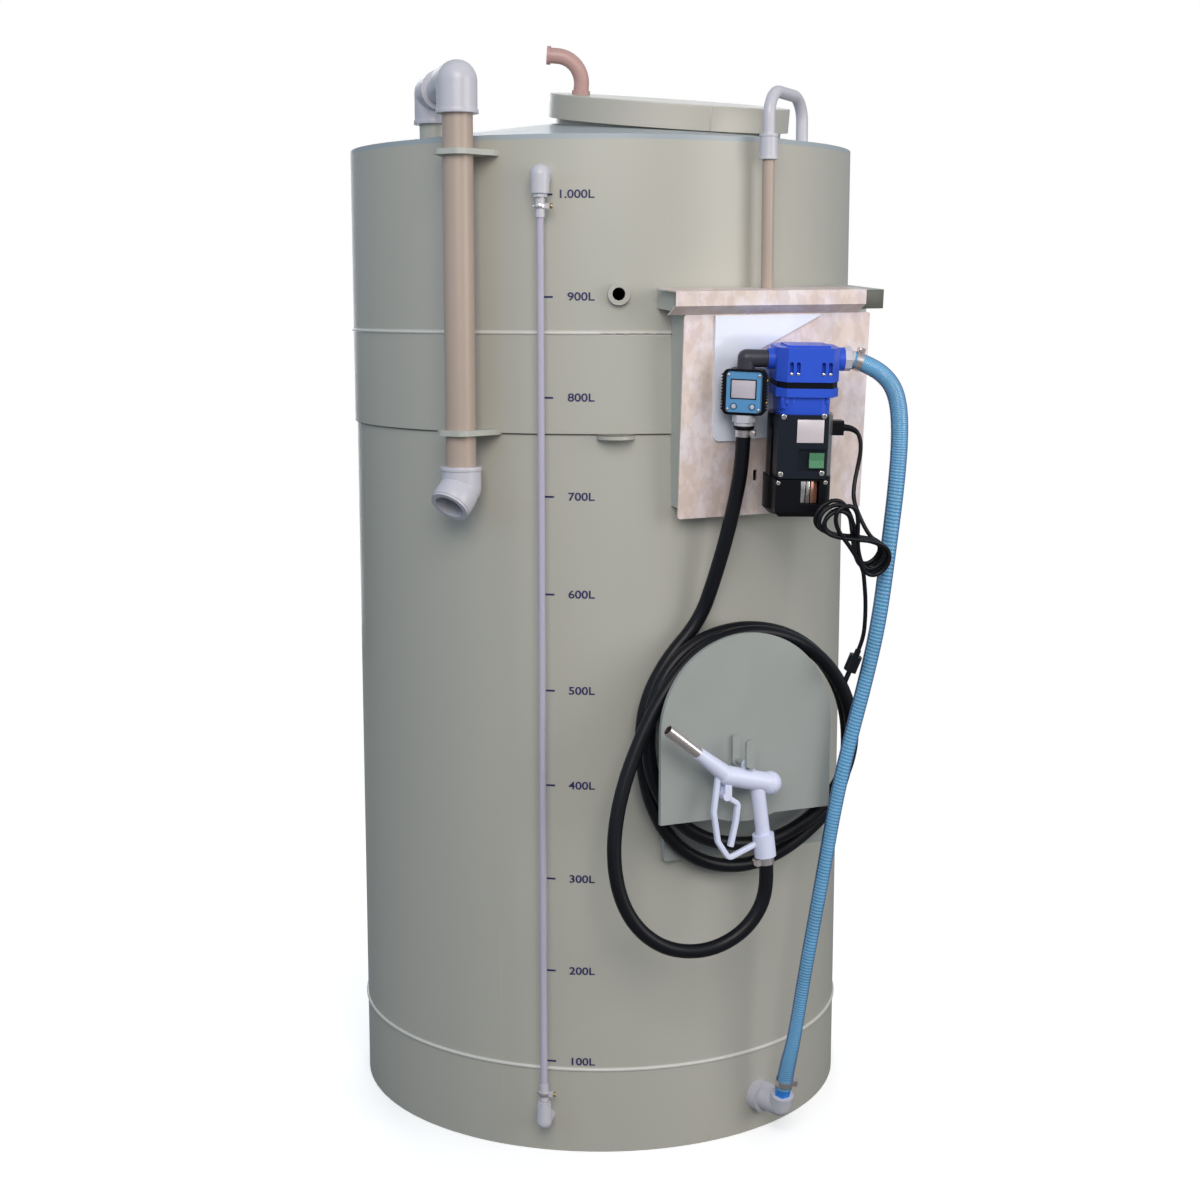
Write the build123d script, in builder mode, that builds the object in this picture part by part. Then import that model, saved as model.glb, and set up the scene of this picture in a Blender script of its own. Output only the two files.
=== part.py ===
from build123d import *
import os
from math import sin, cos, tan, radians, pi

os.makedirs("parts", exist_ok=True)

# Diesel exhaust fluid tank: sizes in millimetres, +Z up, the front towards -Y.
# The origin is the middle of the tank's base, on the floor.

# Tank
tank_radius = 450.0
wall = 8.0
hood_step = 4.0
hood_radius = tank_radius + hood_step
tank_height = 1724.5
roof_rise = 65.5
roof_edge = 8.0
floor_thickness = 12.0
base_band_height = 152.0
seam_height = tank_height - 480.5
upper_weld_height = tank_height - 319.5
bead = 3.0

# Manhole and its lid, tilted with the roof
manhole_x = 120.0
manhole_y = -110.0
manhole_z = tank_height + 43.5
manhole_azimuth = 29.0
manhole_tilt = 7.8
lid_radius = 212.0
lid_height = 41.0
lid_wall = 6.0
neck_gap = 7.0
neck_radius = lid_radius - lid_wall - neck_gap
neck_wall = 8.0
neck_drop = 34.0

# Pipes of grey-brown plastic
fill_pipe_radius = 25.0
fill_pipe_wall = 2.4
socket_wall = 8.0
fill_azimuth = -27.25
fill_distance = tank_radius + 50.0
fill_elbow_height = tank_height + 82.5
fill_socket_length = 51.0
fill_pipe_bottom = seam_height - 72.0
fill_mouth_turn = 45.0
fill_mouth_azimuth = -36.0
roof_elbow_x = -0.62 * tank_radius
roof_elbow_y = -0.64 * tank_radius

vent_pipe_radius = 10.0
riser_azimuth = 34.4
riser_distance = tank_radius + 35.0
riser_coupler_radius = 14.6
riser_coupler_low = tank_height - 37.5
riser_coupler_high = tank_height + 3.5
riser_bend_height = tank_height + 74.5
riser_bend_radius = 40.0
roof_vent_x = riser_distance - 145.0
roof_vent_y = -tank_radius + 173.0

# Level gauge
gauge_azimuth = -11.6
gauge_distance = tank_radius + 30.0
gauge_tube_radius = 6.0
gauge_top = tank_height - 65.0
gauge_bottom = 65.0

# Pump panel: its frame has X to the right, Y up and Z outwards
panel_azimuth = 26.0
panel_distance = tank_radius + 40.0
panel_offset = 83.6
panel_height = seam_height + 29.4
panel_lean = -4.3
panel_roll = 0.6
plate_width = 354.0
plate_tall = 332.5
plate_thickness = 3.0

# Pump, in a frame turned towards the viewer from the panel
pump_right = 0.5
pump_out = 75.0
pump_turn = -20.0
motor_radius = 52.0
port_height = 100.0
meter_left = 91.0
meter_turn = -18.0

# Hose hanger
hanger_azimuth = 24.0
hanger_back_face = tank_radius + 10.0
hanger_front_back = hanger_back_face + 92.0
hanger_front_face = hanger_front_back + 8.0
hanger_width = 316.0
hanger_middle = 16.0
hanger_low = 616.0
hanger_high = 923.0
drum_radius = 131.0
nozzle_distance = hanger_front_face + 40.0

# Hoses and cord
delivery_radius = 12.0
suction_radius = 14.5
cord_radius = 3.5


def outward_plane(azimuth, distance, height, lean=0.0, roll=0.0, offset=0.0):
    turn = radians(azimuth)
    tip = radians(lean)
    normal = Vector(sin(turn) * cos(tip), -cos(turn) * cos(tip), sin(tip))
    across = Vector(cos(turn), sin(turn), 0.0)
    up = normal.cross(across)
    right = across * cos(radians(roll)) + up * sin(radians(roll))
    middle = Vector(distance * sin(turn), -distance * cos(turn), height) + across * offset
    return Plane(origin=middle, x_dir=right, z_dir=normal)


def turned(frame, right, up, out, turn):
    """A frame at a local point, turned about the frame's own upright."""
    angle = radians(turn)
    normal = frame.z_dir * cos(angle) + frame.x_dir * sin(angle)
    across = frame.x_dir * cos(angle) - frame.z_dir * sin(angle)
    return Plane(origin=point(frame, right, up, out), x_dir=across, z_dir=normal)


def point(frame, right, up, out):
    return frame.origin + frame.x_dir * right + frame.y_dir * up + frame.z_dir * out


def face_out(frame, right=0.0, up=0.0, out=0.0):
    return Plane(origin=point(frame, right, up, out), x_dir=frame.x_dir, z_dir=frame.z_dir)


def face_down(frame, right=0.0, up=0.0, out=0.0):
    """Sketch X runs right, sketch Y runs out, extrusion runs down."""
    return Plane(origin=point(frame, right, up, out), x_dir=frame.x_dir, z_dir=frame.y_dir * -1)


def face_right(frame, right=0.0, up=0.0, out=0.0):
    """Sketch X runs up, sketch Y runs out, extrusion runs right."""
    return Plane(origin=point(frame, right, up, out), x_dir=frame.y_dir, z_dir=frame.x_dir)


def along(start, end):
    direction = (end - start).normalized()
    return Plane(origin=start, z_dir=direction)


def corner_radii(points):
    """Each arc's radius is 0.45 of the shorter run over the tangent of half the turn."""
    radii = []
    for before, here, after in zip(points, points[1:], points[2:]):
        first = here - before
        second = after - here
        turn = radians(first.get_angle(second))
        radii.append(0.45 * min(first.length, second.length) / tan(turn / 2))
    return radii


# The tank's outside, for cutting what stands against it
with BuildPart() as tank_outside:
    with BuildSketch(Plane.XY):
        Circle(tank_radius)
    extrude(amount=seam_height)
    with BuildSketch(Plane.XY.offset(seam_height)):
        Circle(hood_radius)
    extrude(amount=tank_height - seam_height)
    with BuildSketch(Plane.XZ):
        with Locations((hood_radius, upper_weld_height + bead)):
            Circle(bead + 0.2)
    revolve(axis=Axis.Z)

manhole = Plane(
    origin=(manhole_x, manhole_y, manhole_z),
    x_dir=(cos(radians(manhole_azimuth)), sin(radians(manhole_azimuth)), 0),
    z_dir=(
        sin(radians(manhole_azimuth)) * sin(radians(manhole_tilt)),
        -cos(radians(manhole_azimuth)) * sin(radians(manhole_tilt)),
        cos(radians(manhole_tilt)),
    ),
)
panel = outward_plane(
    panel_azimuth, panel_distance, panel_height, panel_lean, panel_roll, panel_offset
)
pump = turned(panel, pump_right, 0.0, pump_out, pump_turn)
meter = turned(pump, -meter_left, 0.0, 0.0, meter_turn)
hanger = outward_plane(hanger_azimuth, 0.0, 0.0)

# Tank floor and shell
with BuildPart() as tank_floor:
    with BuildSketch(Plane.XY):
        Circle(tank_radius - wall)
    extrude(amount=floor_thickness)
tank_floor.part.label = "tank_floor"
export_step(tank_floor.part, "parts/tank_floor.step")

outlet_azimuth = 38.5
outlet_height = 64.0
outlet_frame = outward_plane(outlet_azimuth, 0.0, outlet_height)
gauge_frame = outward_plane(gauge_azimuth, 0.0, 0.0)
overflow_frame = outward_plane(3.7, 0.0, seam_height + 226.8)
overflow_bore = 10.5
overflow_radius = 18.0
overflow_length = 21.0

with BuildPart() as lower_shell:
    with BuildSketch(Plane.XY):
        Circle(tank_radius)
        Circle(tank_radius - wall, mode=Mode.SUBTRACT)
    extrude(amount=upper_weld_height)
    with BuildSketch(Plane.XZ):
        with Locations((tank_radius, base_band_height - bead)):
            Circle(bead)
    revolve(axis=Axis.Z)
    with BuildSketch(Plane.XY.offset(base_band_height - 4 * bead)):
        Circle(tank_radius - wall)
    extrude(amount=8 * bead, mode=Mode.SUBTRACT)
lower_shell.part.label = "lower_shell"
export_step(lower_shell.part, "parts/lower_shell.step")

with BuildPart() as upper_shell:
    with BuildSketch(Plane.XY.offset(seam_height)):
        Circle(hood_radius)
        Circle(tank_radius, mode=Mode.SUBTRACT)
    extrude(amount=upper_weld_height - seam_height)
    with BuildSketch(Plane.XY.offset(upper_weld_height)):
        Circle(hood_radius)
        Circle(hood_radius - wall, mode=Mode.SUBTRACT)
    extrude(amount=tank_height - roof_edge - upper_weld_height)
    with BuildSketch(Plane.XZ):
        with Locations((hood_radius, upper_weld_height + bead)):
            Circle(bead)
    revolve(axis=Axis.Z)
    with BuildSketch(face_out(overflow_frame, 0, 0, hood_radius - 2 * wall)):
        Circle(overflow_bore)
    extrude(amount=3 * wall, mode=Mode.SUBTRACT)
upper_shell.part.label = "upper_shell"
export_step(upper_shell.part, "parts/upper_shell.step")

with BuildPart() as roof_cone:
    with BuildSketch(Plane.XZ):
        with BuildLine():
            Polyline(
                (0, tank_height + roof_rise),
                (hood_radius, tank_height),
                (hood_radius, tank_height - roof_edge),
                (hood_radius - wall, tank_height - roof_edge),
                (0, tank_height + roof_rise - roof_edge),
                (0, tank_height + roof_rise),
            )
        make_face()
    revolve(axis=Axis.Z)
    with BuildSketch(manhole.offset(-90)):
        Circle(neck_radius)
    extrude(amount=180, mode=Mode.SUBTRACT)
roof_cone.part.label = "roof_cone"
export_step(roof_cone.part, "parts/roof_cone.step")

# Manhole neck and the loose cap over it
neck_top = lid_height - lid_wall
with BuildPart() as manhole_neck:
    with BuildSketch(manhole.offset(-neck_drop)):
        Circle(neck_radius)
        Circle(neck_radius - neck_wall, mode=Mode.SUBTRACT)
    extrude(amount=neck_drop + neck_top)
manhole_neck.part.label = "manhole_neck"
export_step(manhole_neck.part, "parts/manhole_neck.step")

with BuildPart() as manhole_lid:
    with BuildSketch(manhole):
        Circle(lid_radius)
    extrude(amount=lid_height)
    fillet(manhole_lid.edges().group_by(SortBy.LENGTH)[-1].sort_by_distance(
        point(manhole, 0, 0, 500))[0], radius=2.0)
    with BuildSketch(manhole.offset(-1)):
        Circle(lid_radius - lid_wall)
    extrude(amount=neck_top + 1, mode=Mode.SUBTRACT)
manhole_lid.part.label = "manhole_lid"
export_step(manhole_lid.part, "parts/manhole_lid.step")

# Vent bend on the lid: it rises, turns in a wide arc and opens to the left
vent_outer = 13.5
vent_inner = 11.0
vent_bend = 46.0
vent_stem = 17.0
vent_reach = 18.0
vent_rim = 2.5
vent_foot = Vector(-158.0, 10.0, 0.0)
vent_right = vent_foot.dot(manhole.x_dir)
vent_up = vent_foot.dot(manhole.y_dir)
vent_base = point(manhole, vent_right, vent_up, lid_height)
vent_left = (Vector(-1, 0, 0) - manhole.z_dir * Vector(-1, 0, 0).dot(manhole.z_dir)).normalized()
vent_turn = vent_base + manhole.z_dir * (vent_stem + vent_bend)
vent_mouth = vent_turn + vent_left * (vent_bend + vent_reach)
with BuildPart() as lid_vent:
    with BuildLine():
        FilletPolyline(vent_base, vent_turn, vent_mouth, radius=vent_bend)
    with BuildSketch(Plane(origin=vent_base, x_dir=vent_left, z_dir=manhole.z_dir)):
        Circle(vent_outer)
        Circle(vent_inner, mode=Mode.SUBTRACT)
    sweep()
    with BuildSketch(Plane(origin=vent_base, x_dir=vent_left, z_dir=manhole.z_dir)):
        Circle(vent_outer + vent_rim)
        Circle(vent_inner, mode=Mode.SUBTRACT)
    extrude(amount=7.0)
    with BuildSketch(Plane(origin=vent_mouth, z_dir=vent_left * -1)):
        Circle(vent_outer + vent_rim)
        Circle(vent_inner, mode=Mode.SUBTRACT)
    extrude(amount=7.0)
lid_vent.part.label = "lid_vent"
export_step(lid_vent.part, "parts/lid_vent.step")

# Fill pipe, two white elbows over the rim and a stub into the roof
fill_x = fill_distance * sin(radians(fill_azimuth))
fill_y = -fill_distance * cos(radians(fill_azimuth))
fill_socket = fill_pipe_radius + socket_wall
fill_bore = fill_pipe_radius - fill_pipe_wall
fill_socket_depth = 32.0
fill_corner = Vector(fill_x, fill_y, fill_elbow_height)
roof_corner = Vector(roof_elbow_x, roof_elbow_y, fill_elbow_height - 4.0)
fill_link = (roof_corner - fill_corner).normalized()
fill_socket_end = fill_elbow_height - fill_socket_length

with BuildPart() as fill_pipe:
    with BuildSketch(Plane.XY.offset(fill_pipe_bottom)):
        with Locations((fill_x, fill_y)):
            Circle(fill_pipe_radius)
            Circle(fill_bore, mode=Mode.SUBTRACT)
    extrude(amount=fill_socket_end + fill_socket_depth - fill_pipe_bottom)
fill_pipe.part.label = "fill_pipe"
export_step(fill_pipe.part, "parts/fill_pipe.step")

with BuildPart() as fill_top_elbow:
    with BuildSketch(Plane(origin=fill_corner, z_dir=(0, 0, -1))):
        Circle(fill_socket)
    extrude(amount=fill_socket_length)
    with BuildSketch(Plane(origin=fill_corner, z_dir=fill_link)):
        Circle(fill_socket)
    extrude(amount=fill_socket_length)
    with Locations(fill_corner):
        Sphere(fill_socket)
    with BuildSketch(Plane(origin=fill_corner, z_dir=(0, 0, -1))):
        Circle(fill_bore)
    extrude(amount=fill_socket_length, mode=Mode.SUBTRACT)
    with BuildSketch(Plane(origin=fill_corner, z_dir=fill_link)):
        Circle(fill_bore)
    extrude(amount=fill_socket_length, mode=Mode.SUBTRACT)
    with BuildSketch(Plane.XY.offset(fill_socket_end)):
        with Locations((fill_x, fill_y)):
            Circle(fill_pipe_radius)
    extrude(amount=fill_socket_depth, mode=Mode.SUBTRACT)
    with BuildSketch(Plane(origin=fill_corner + fill_link * fill_socket_length, z_dir=fill_link * -1)):
        Circle(fill_pipe_radius)
    extrude(amount=fill_socket_depth - 10.0, mode=Mode.SUBTRACT)
fill_top_elbow.part.label = "fill_top_elbow"
export_step(fill_top_elbow.part, "parts/fill_top_elbow.step")

link_start = fill_corner + fill_link * (fill_socket_length - fill_socket_depth + 10.0)
link_end = roof_corner - fill_link * (fill_socket_length - fill_socket_depth + 10.0)
with BuildPart() as fill_roof_elbow:
    with BuildSketch(Plane(origin=roof_corner, z_dir=(0, 0, -1))):
        Circle(fill_socket)
    extrude(amount=fill_socket_length)
    with BuildSketch(Plane(origin=roof_corner, z_dir=fill_link * -1)):
        Circle(fill_socket)
    extrude(amount=fill_socket_length)
    with Locations(roof_corner):
        Sphere(fill_socket)
    with BuildSketch(Plane(origin=roof_corner, z_dir=(0, 0, -1))):
        Circle(fill_bore)
    extrude(amount=fill_socket_length, mode=Mode.SUBTRACT)
    with BuildSketch(Plane(origin=roof_corner, z_dir=fill_link * -1)):
        Circle(fill_bore)
    extrude(amount=fill_socket_length, mode=Mode.SUBTRACT)
    with BuildSketch(Plane(origin=link_end, z_dir=fill_link * -1)):
        Circle(fill_pipe_radius)
    extrude(amount=fill_socket_depth, mode=Mode.SUBTRACT)
    with BuildSketch(Plane.XY.offset(roof_corner.Z - fill_socket_length)):
        with Locations((roof_elbow_x, roof_elbow_y)):
            Circle(fill_pipe_radius)
    extrude(amount=fill_socket_depth - 10.0, mode=Mode.SUBTRACT)
    with BuildSketch(Plane(origin=link_start, z_dir=fill_link)):
        Circle(fill_pipe_radius)
        Circle(fill_bore, mode=Mode.SUBTRACT)
    extrude(amount=(link_end - link_start).length)
fill_roof_elbow.part.label = "fill_roof_elbow"
export_step(fill_roof_elbow.part, "parts/fill_roof_elbow.step")

# The stub stands on the roof: its foot is cut to the cone
stub_top = roof_corner.Z - fill_socket_length + fill_socket_depth - 10.0
with BuildPart() as roof_outside:
    with BuildSketch(Plane.XZ):
        with BuildLine():
            Polyline(
                (0, tank_height + roof_rise),
                (hood_radius, tank_height),
                (hood_radius, tank_height - 60.0),
                (0, tank_height - 60.0),
                (0, tank_height + roof_rise),
            )
        make_face()
    revolve(axis=Axis.Z)

with BuildPart() as fill_roof_stub:
    with BuildSketch(Plane.XY.offset(tank_height - 20.0)):
        with Locations((roof_elbow_x, roof_elbow_y)):
            Circle(fill_pipe_radius)
            Circle(fill_bore, mode=Mode.SUBTRACT)
    extrude(amount=stub_top - tank_height + 20.0)
    add(roof_outside.part, mode=Mode.SUBTRACT)
fill_roof_stub.part.label = "fill_roof_stub"
export_step(fill_roof_stub.part, "parts/fill_roof_stub.step")

# Open 45 degree elbow under the fill pipe: its mouth points down and outwards
mouth_turn = radians(fill_mouth_turn)
mouth_side = radians(fill_mouth_azimuth)
mouth_way = Vector(
    sin(mouth_side) * sin(mouth_turn), -cos(mouth_side) * sin(mouth_turn), -cos(mouth_turn)
)
mouth_socket_top = fill_pipe_bottom + 19.0
mouth_socket_length = 34.0
mouth_leg = 44.0
mouth_corner = Vector(fill_x, fill_y, mouth_socket_top - mouth_socket_length)
with BuildPart() as fill_mouth_elbow:
    with BuildSketch(Plane.XY.offset(mouth_socket_top)):
        with Locations((fill_x, fill_y)):
            Circle(fill_socket)
    extrude(amount=-mouth_socket_length)
    with BuildSketch(Plane(origin=mouth_corner, z_dir=mouth_way)):
        Circle(fill_socket)
    extrude(amount=mouth_leg)
    with Locations(mouth_corner):
        Sphere(fill_socket)
    with BuildSketch(Plane(origin=mouth_corner + mouth_way * 12.0, z_dir=mouth_way)):
        Circle(fill_pipe_radius)
    extrude(amount=mouth_leg, mode=Mode.SUBTRACT)
    with Locations(mouth_corner):
        Sphere(fill_bore, mode=Mode.SUBTRACT)
    with BuildSketch(Plane(origin=mouth_corner, z_dir=mouth_way)):
        Circle(fill_bore)
    extrude(amount=mouth_leg, mode=Mode.SUBTRACT)
    with BuildSketch(Plane.XY.offset(mouth_corner.Z)):
        with Locations((fill_x, fill_y)):
            Circle(fill_bore)
    extrude(amount=mouth_socket_length, mode=Mode.SUBTRACT)
    with BuildSketch(Plane.XY.offset(fill_pipe_bottom)):
        with Locations((fill_x, fill_y)):
            Circle(fill_pipe_radius)
    extrude(amount=mouth_socket_length, mode=Mode.SUBTRACT)
fill_mouth_elbow.part.label = "fill_mouth_elbow"
export_step(fill_mouth_elbow.part, "parts/fill_mouth_elbow.step")

# Flat plates welded to the shell that hold the fill pipe
fill_frame = outward_plane(fill_azimuth, 0.0, 0.0)
clip_width = 96.0
clip_thickness = 9.0
clip_reach = fill_distance + fill_pipe_radius + 10.0
upper_clip_height = tank_height - 24.5
lower_clip_height = seam_height + 7.0


def pipe_clip(height):
    with BuildPart() as clip:
        with BuildSketch(face_down(fill_frame, 0, height, 0)):
            with BuildLine():
                Polyline(
                    (-clip_width / 2, hood_radius - 40),
                    (-clip_width / 2, hood_radius + 12),
                    (-clip_width / 2 + 22, clip_reach),
                    (clip_width / 2 - 22, clip_reach),
                    (clip_width / 2, hood_radius + 12),
                    (clip_width / 2, hood_radius - 40),
                    (-clip_width / 2, hood_radius - 40),
                )
            make_face()
        extrude(amount=clip_thickness)
        fillet(clip.edges().filter_by(Axis.Z).sort_by_distance(
            point(fill_frame, 0, height, clip_reach))[:2], radius=18.0)
        with BuildSketch(Plane.XY.offset(height - clip_thickness)):
            with Locations((fill_x, fill_y)):
                Circle(fill_pipe_radius)
        extrude(amount=clip_thickness, mode=Mode.SUBTRACT)
        add(tank_outside.part, mode=Mode.SUBTRACT)
    return clip.part


pipe_clip_upper = pipe_clip(upper_clip_height)
pipe_clip_upper.label = "pipe_clip_upper"
export_step(pipe_clip_upper, "parts/pipe_clip_upper.step")
pipe_clip_lower = pipe_clip(lower_clip_height)
pipe_clip_lower.label = "pipe_clip_lower"
export_step(pipe_clip_lower, "parts/pipe_clip_lower.step")

# Level gauge: an elbow at each end, a nut, a clamped barb and the clear tube
gauge_top_radius = 16.0
gauge_bottom_radius = 13.0
gauge_leg = 30.0
gauge_collar = 38.0
gauge_nut_radius = 12.0
gauge_barb_radius = 7.5


def gauge_elbow(height, up, radius):
    """An elbow from the shell that turns up (1) or down (-1) to the tube."""
    middle = point(gauge_frame, 0, height, gauge_distance)
    with BuildPart() as elbow:
        with BuildSketch(face_out(gauge_frame, 0, height, tank_radius - 30)):
            Circle(radius - 1.0)
        extrude(amount=gauge_distance - tank_radius + 30)
        with Locations(middle):
            Sphere(radius)
        with BuildSketch(Plane(origin=middle, z_dir=(0, 0, up))):
            Circle(radius)
        extrude(amount=gauge_leg, taper=2.0)
        with BuildSketch(Plane(origin=middle, z_dir=(0, 0, up))):
            Circle(gauge_tube_radius - 2)
        extrude(amount=gauge_leg, mode=Mode.SUBTRACT)
        add(tank_outside.part, mode=Mode.SUBTRACT)
    return elbow.part


gauge_top_elbow = gauge_elbow(gauge_top, -1, gauge_top_radius)
gauge_top_elbow.label = "gauge_top_elbow"
export_step(gauge_top_elbow, "parts/gauge_top_elbow.step")
gauge_bottom_elbow = gauge_elbow(gauge_bottom, 1, gauge_bottom_radius)
gauge_bottom_elbow.label = "gauge_bottom_elbow"
export_step(gauge_bottom_elbow, "parts/gauge_bottom_elbow.step")

gauge_tube_low = gauge_bottom + gauge_leg + 6.0
gauge_tube_high = gauge_top - gauge_leg - 6.0
with BuildPart() as gauge_tube:
    with BuildSketch(face_down(gauge_frame, 0, gauge_tube_high, gauge_distance)):
        Circle(gauge_tube_radius)
        Circle(gauge_tube_radius - 2, mode=Mode.SUBTRACT)
    extrude(amount=gauge_tube_high - gauge_tube_low)
gauge_tube.part.label = "gauge_tube"
export_step(gauge_tube.part, "parts/gauge_tube.step")


def gauge_fitting(start, way):
    """Nut against the elbow, the collar over the tube's end and its clamp."""
    band = gauge_level(start + 16.0 * way)
    with BuildPart() as fitting:
        with BuildSketch(face_out(gauge_level(start), 0, 0, 0)):
            RegularPolygon(gauge_nut_radius, 8)
            Circle(gauge_tube_radius - 2, mode=Mode.SUBTRACT)
        extrude(amount=6.0 * way)
        with BuildSketch(face_out(gauge_level(start + 6.0 * way), 0, 0, 0)):
            Circle(gauge_barb_radius)
            Circle(gauge_tube_radius, mode=Mode.SUBTRACT)
        extrude(amount=(gauge_collar - 6.0) * way)
        with BuildSketch(band):
            Circle(gauge_barb_radius + 1.5)
            with Locations((gauge_barb_radius + 4.5, 0)):
                Rectangle(8.0, 7.0)
            Circle(gauge_barb_radius - 0.5, mode=Mode.SUBTRACT)
        extrude(amount=8.0 * way)
        with BuildSketch(face_right(gauge_frame, gauge_barb_radius + 8.5, start + 20.0 * way,
                                    gauge_distance)):
            Circle(2.0)
        extrude(amount=5.0)
    return fitting.part


def gauge_level(height):
    middle = point(gauge_frame, 0, height, gauge_distance)
    return Plane(origin=middle, x_dir=gauge_frame.x_dir, z_dir=(0, 0, 1))


gauge_nut_upper = gauge_fitting(gauge_top - gauge_leg, -1)
gauge_nut_upper.label = "gauge_nut_upper"
export_step(gauge_nut_upper, "parts/gauge_nut_upper.step")
gauge_nut_lower = gauge_fitting(gauge_bottom + gauge_leg, 1)
gauge_nut_lower.label = "gauge_nut_lower"
export_step(gauge_nut_lower, "parts/gauge_nut_lower.step")

# Overflow ring and the lug under the seam
with BuildPart() as overflow_stub:
    with BuildSketch(face_out(overflow_frame, 0, 0, hood_radius - 10)):
        Circle(overflow_radius)
        Circle(overflow_bore, mode=Mode.SUBTRACT)
    extrude(amount=overflow_length)
    add(tank_outside.part, mode=Mode.SUBTRACT)
overflow_stub.part.label = "overflow_stub"
export_step(overflow_stub.part, "parts/overflow_stub.step")

lug_frame = outward_plane(3.2, 0.0, 0.0)
lug_radius = 31.0
lug_thickness = 8.0
lug_hole_radius = 4.0
with BuildPart() as seam_lug:
    with BuildSketch(face_down(lug_frame, 0, seam_height, tank_radius)):
        Circle(lug_radius)
        with Locations((8.0, 18.0)):
            Circle(lug_hole_radius, mode=Mode.SUBTRACT)
    extrude(amount=lug_thickness)
    add(tank_outside.part, mode=Mode.SUBTRACT)
seam_lug.part.label = "seam_lug"
export_step(seam_lug.part, "parts/seam_lug.step")

# Return pipe: riser, coupler and a bend over the rim in two halves
riser_x = riser_distance * sin(radians(riser_azimuth))
riser_y = -riser_distance * cos(radians(riser_azimuth))
riser_head = Vector(riser_x, riser_y, riser_bend_height)
roof_head = Vector(roof_vent_x, roof_vent_y, riser_bend_height - 3.0)
riser_joint = riser_head + (roof_head - riser_head) * 0.5
riser_middle = (riser_coupler_low + riser_coupler_high) / 2
riser_inner = vent_pipe_radius - 2.0

with BuildPart() as riser_bend:
    with BuildSketch(Plane.XY.offset(riser_coupler_low)):
        with Locations((riser_x, riser_y)):
            Circle(riser_coupler_radius)
            Circle(vent_pipe_radius, mode=Mode.SUBTRACT)
    extrude(amount=riser_coupler_high - riser_coupler_low)
    with BuildLine():
        FilletPolyline(
            Vector(riser_x, riser_y, riser_middle), riser_head, riser_joint,
            radius=riser_bend_radius,
        )
    with BuildSketch(Plane.XY.offset(riser_middle)):
        with Locations((riser_x, riser_y)):
            Circle(vent_pipe_radius)
            Circle(riser_inner, mode=Mode.SUBTRACT)
    sweep()
riser_bend.part.label = "riser_bend"
export_step(riser_bend.part, "parts/riser_bend.step")

with BuildPart() as roof_bend:
    with BuildLine():
        FilletPolyline(
            Vector(roof_vent_x, roof_vent_y, tank_height - 15.0), roof_head, riser_joint,
            radius=riser_bend_radius,
        )
    with BuildSketch(Plane.XY.offset(tank_height - 15.0)):
        with Locations((roof_vent_x, roof_vent_y)):
            Circle(vent_pipe_radius)
            Circle(riser_inner, mode=Mode.SUBTRACT)
    sweep()
    add(roof_outside.part, mode=Mode.SUBTRACT)
roof_bend.part.label = "roof_bend"
export_step(roof_bend.part, "parts/roof_bend.step")

# Box on the shell that carries the pump plate, open to the tank at the back
box_left = -171.0
box_right = 171.0
box_low = -150.0
box_high = 172.0
box_wall = 8.0
rail_left = -194.0
rail_right = 203.0
rail_low = 172.0
rail_high = 204.0
with BuildPart() as panel_box:
    with BuildSketch(face_out(panel, 0, 0, -plate_thickness)):
        with Locations(((box_left + box_right) / 2, (box_low + box_high) / 2)):
            Rectangle(box_right - box_left, box_high - box_low)
    extrude(amount=-190.0)
    with BuildSketch(face_out(panel, 0, 0, -plate_thickness)):
        with Locations(((box_left + box_right) / 2, (box_low + box_high) / 2)):
            Rectangle(box_right - box_left - 2 * box_wall, box_high - box_low - 2 * box_wall)
    extrude(amount=-190.0, mode=Mode.SUBTRACT)
    with BuildSketch(face_right(panel, rail_left, 0, 0)):
        with BuildLine():
            Polyline(
                (rail_low, -plate_thickness),
                (rail_high, -plate_thickness),
                (rail_high, -160.0),
                (rail_low, -160.0),
                (rail_low, -plate_thickness),
            )
        make_face()
    extrude(amount=rail_right - rail_left)
    add(tank_outside.part, mode=Mode.SUBTRACT)
panel_box.part.label = "panel_box"
export_step(panel_box.part, "parts/panel_box.step")

# Stainless back plate and the folded rain hood over it
slot_x = -34.0
slot_y = -100.0
slot_width = 7.0
slot_tall = 18.0
with BuildPart() as back_plate:
    with BuildSketch(face_out(panel, 0, 0, -plate_thickness)):
        RectangleRounded(plate_width, plate_tall, 4.0)
        with Locations((slot_x, slot_y)):
            Rectangle(slot_width, slot_tall, mode=Mode.SUBTRACT)
    extrude(amount=plate_thickness)
back_plate.part.label = "back_plate"
export_step(back_plate.part, "parts/back_plate.step")

hood_left = -206.0
hood_right = 152.0
hood_sheet = 2.0
hood_out = 24.0
hood_top = 206.0
plate_top = plate_tall / 2
with BuildPart() as rain_hood:
    with BuildSketch(face_right(panel, hood_left, 0, 0)):
        with BuildLine():
            Polyline(
                (plate_top, -plate_thickness),
                (plate_top, 0),
                (plate_top + 16.0, hood_out),
                (hood_top, hood_out),
                (hood_top, -44.0),
                (rail_high, -44.0),
                (rail_high, hood_out - hood_sheet),
                (plate_top + 17.0, hood_out - hood_sheet),
                (plate_top + 2.5, -0.5),
                (plate_top + 2.5, -plate_thickness),
                (plate_top, -plate_thickness),
            )
        make_face()
    extrude(amount=hood_right - hood_left)
rain_hood.part.label = "rain_hood"
export_step(rain_hood.part, "parts/rain_hood.step")

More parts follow.
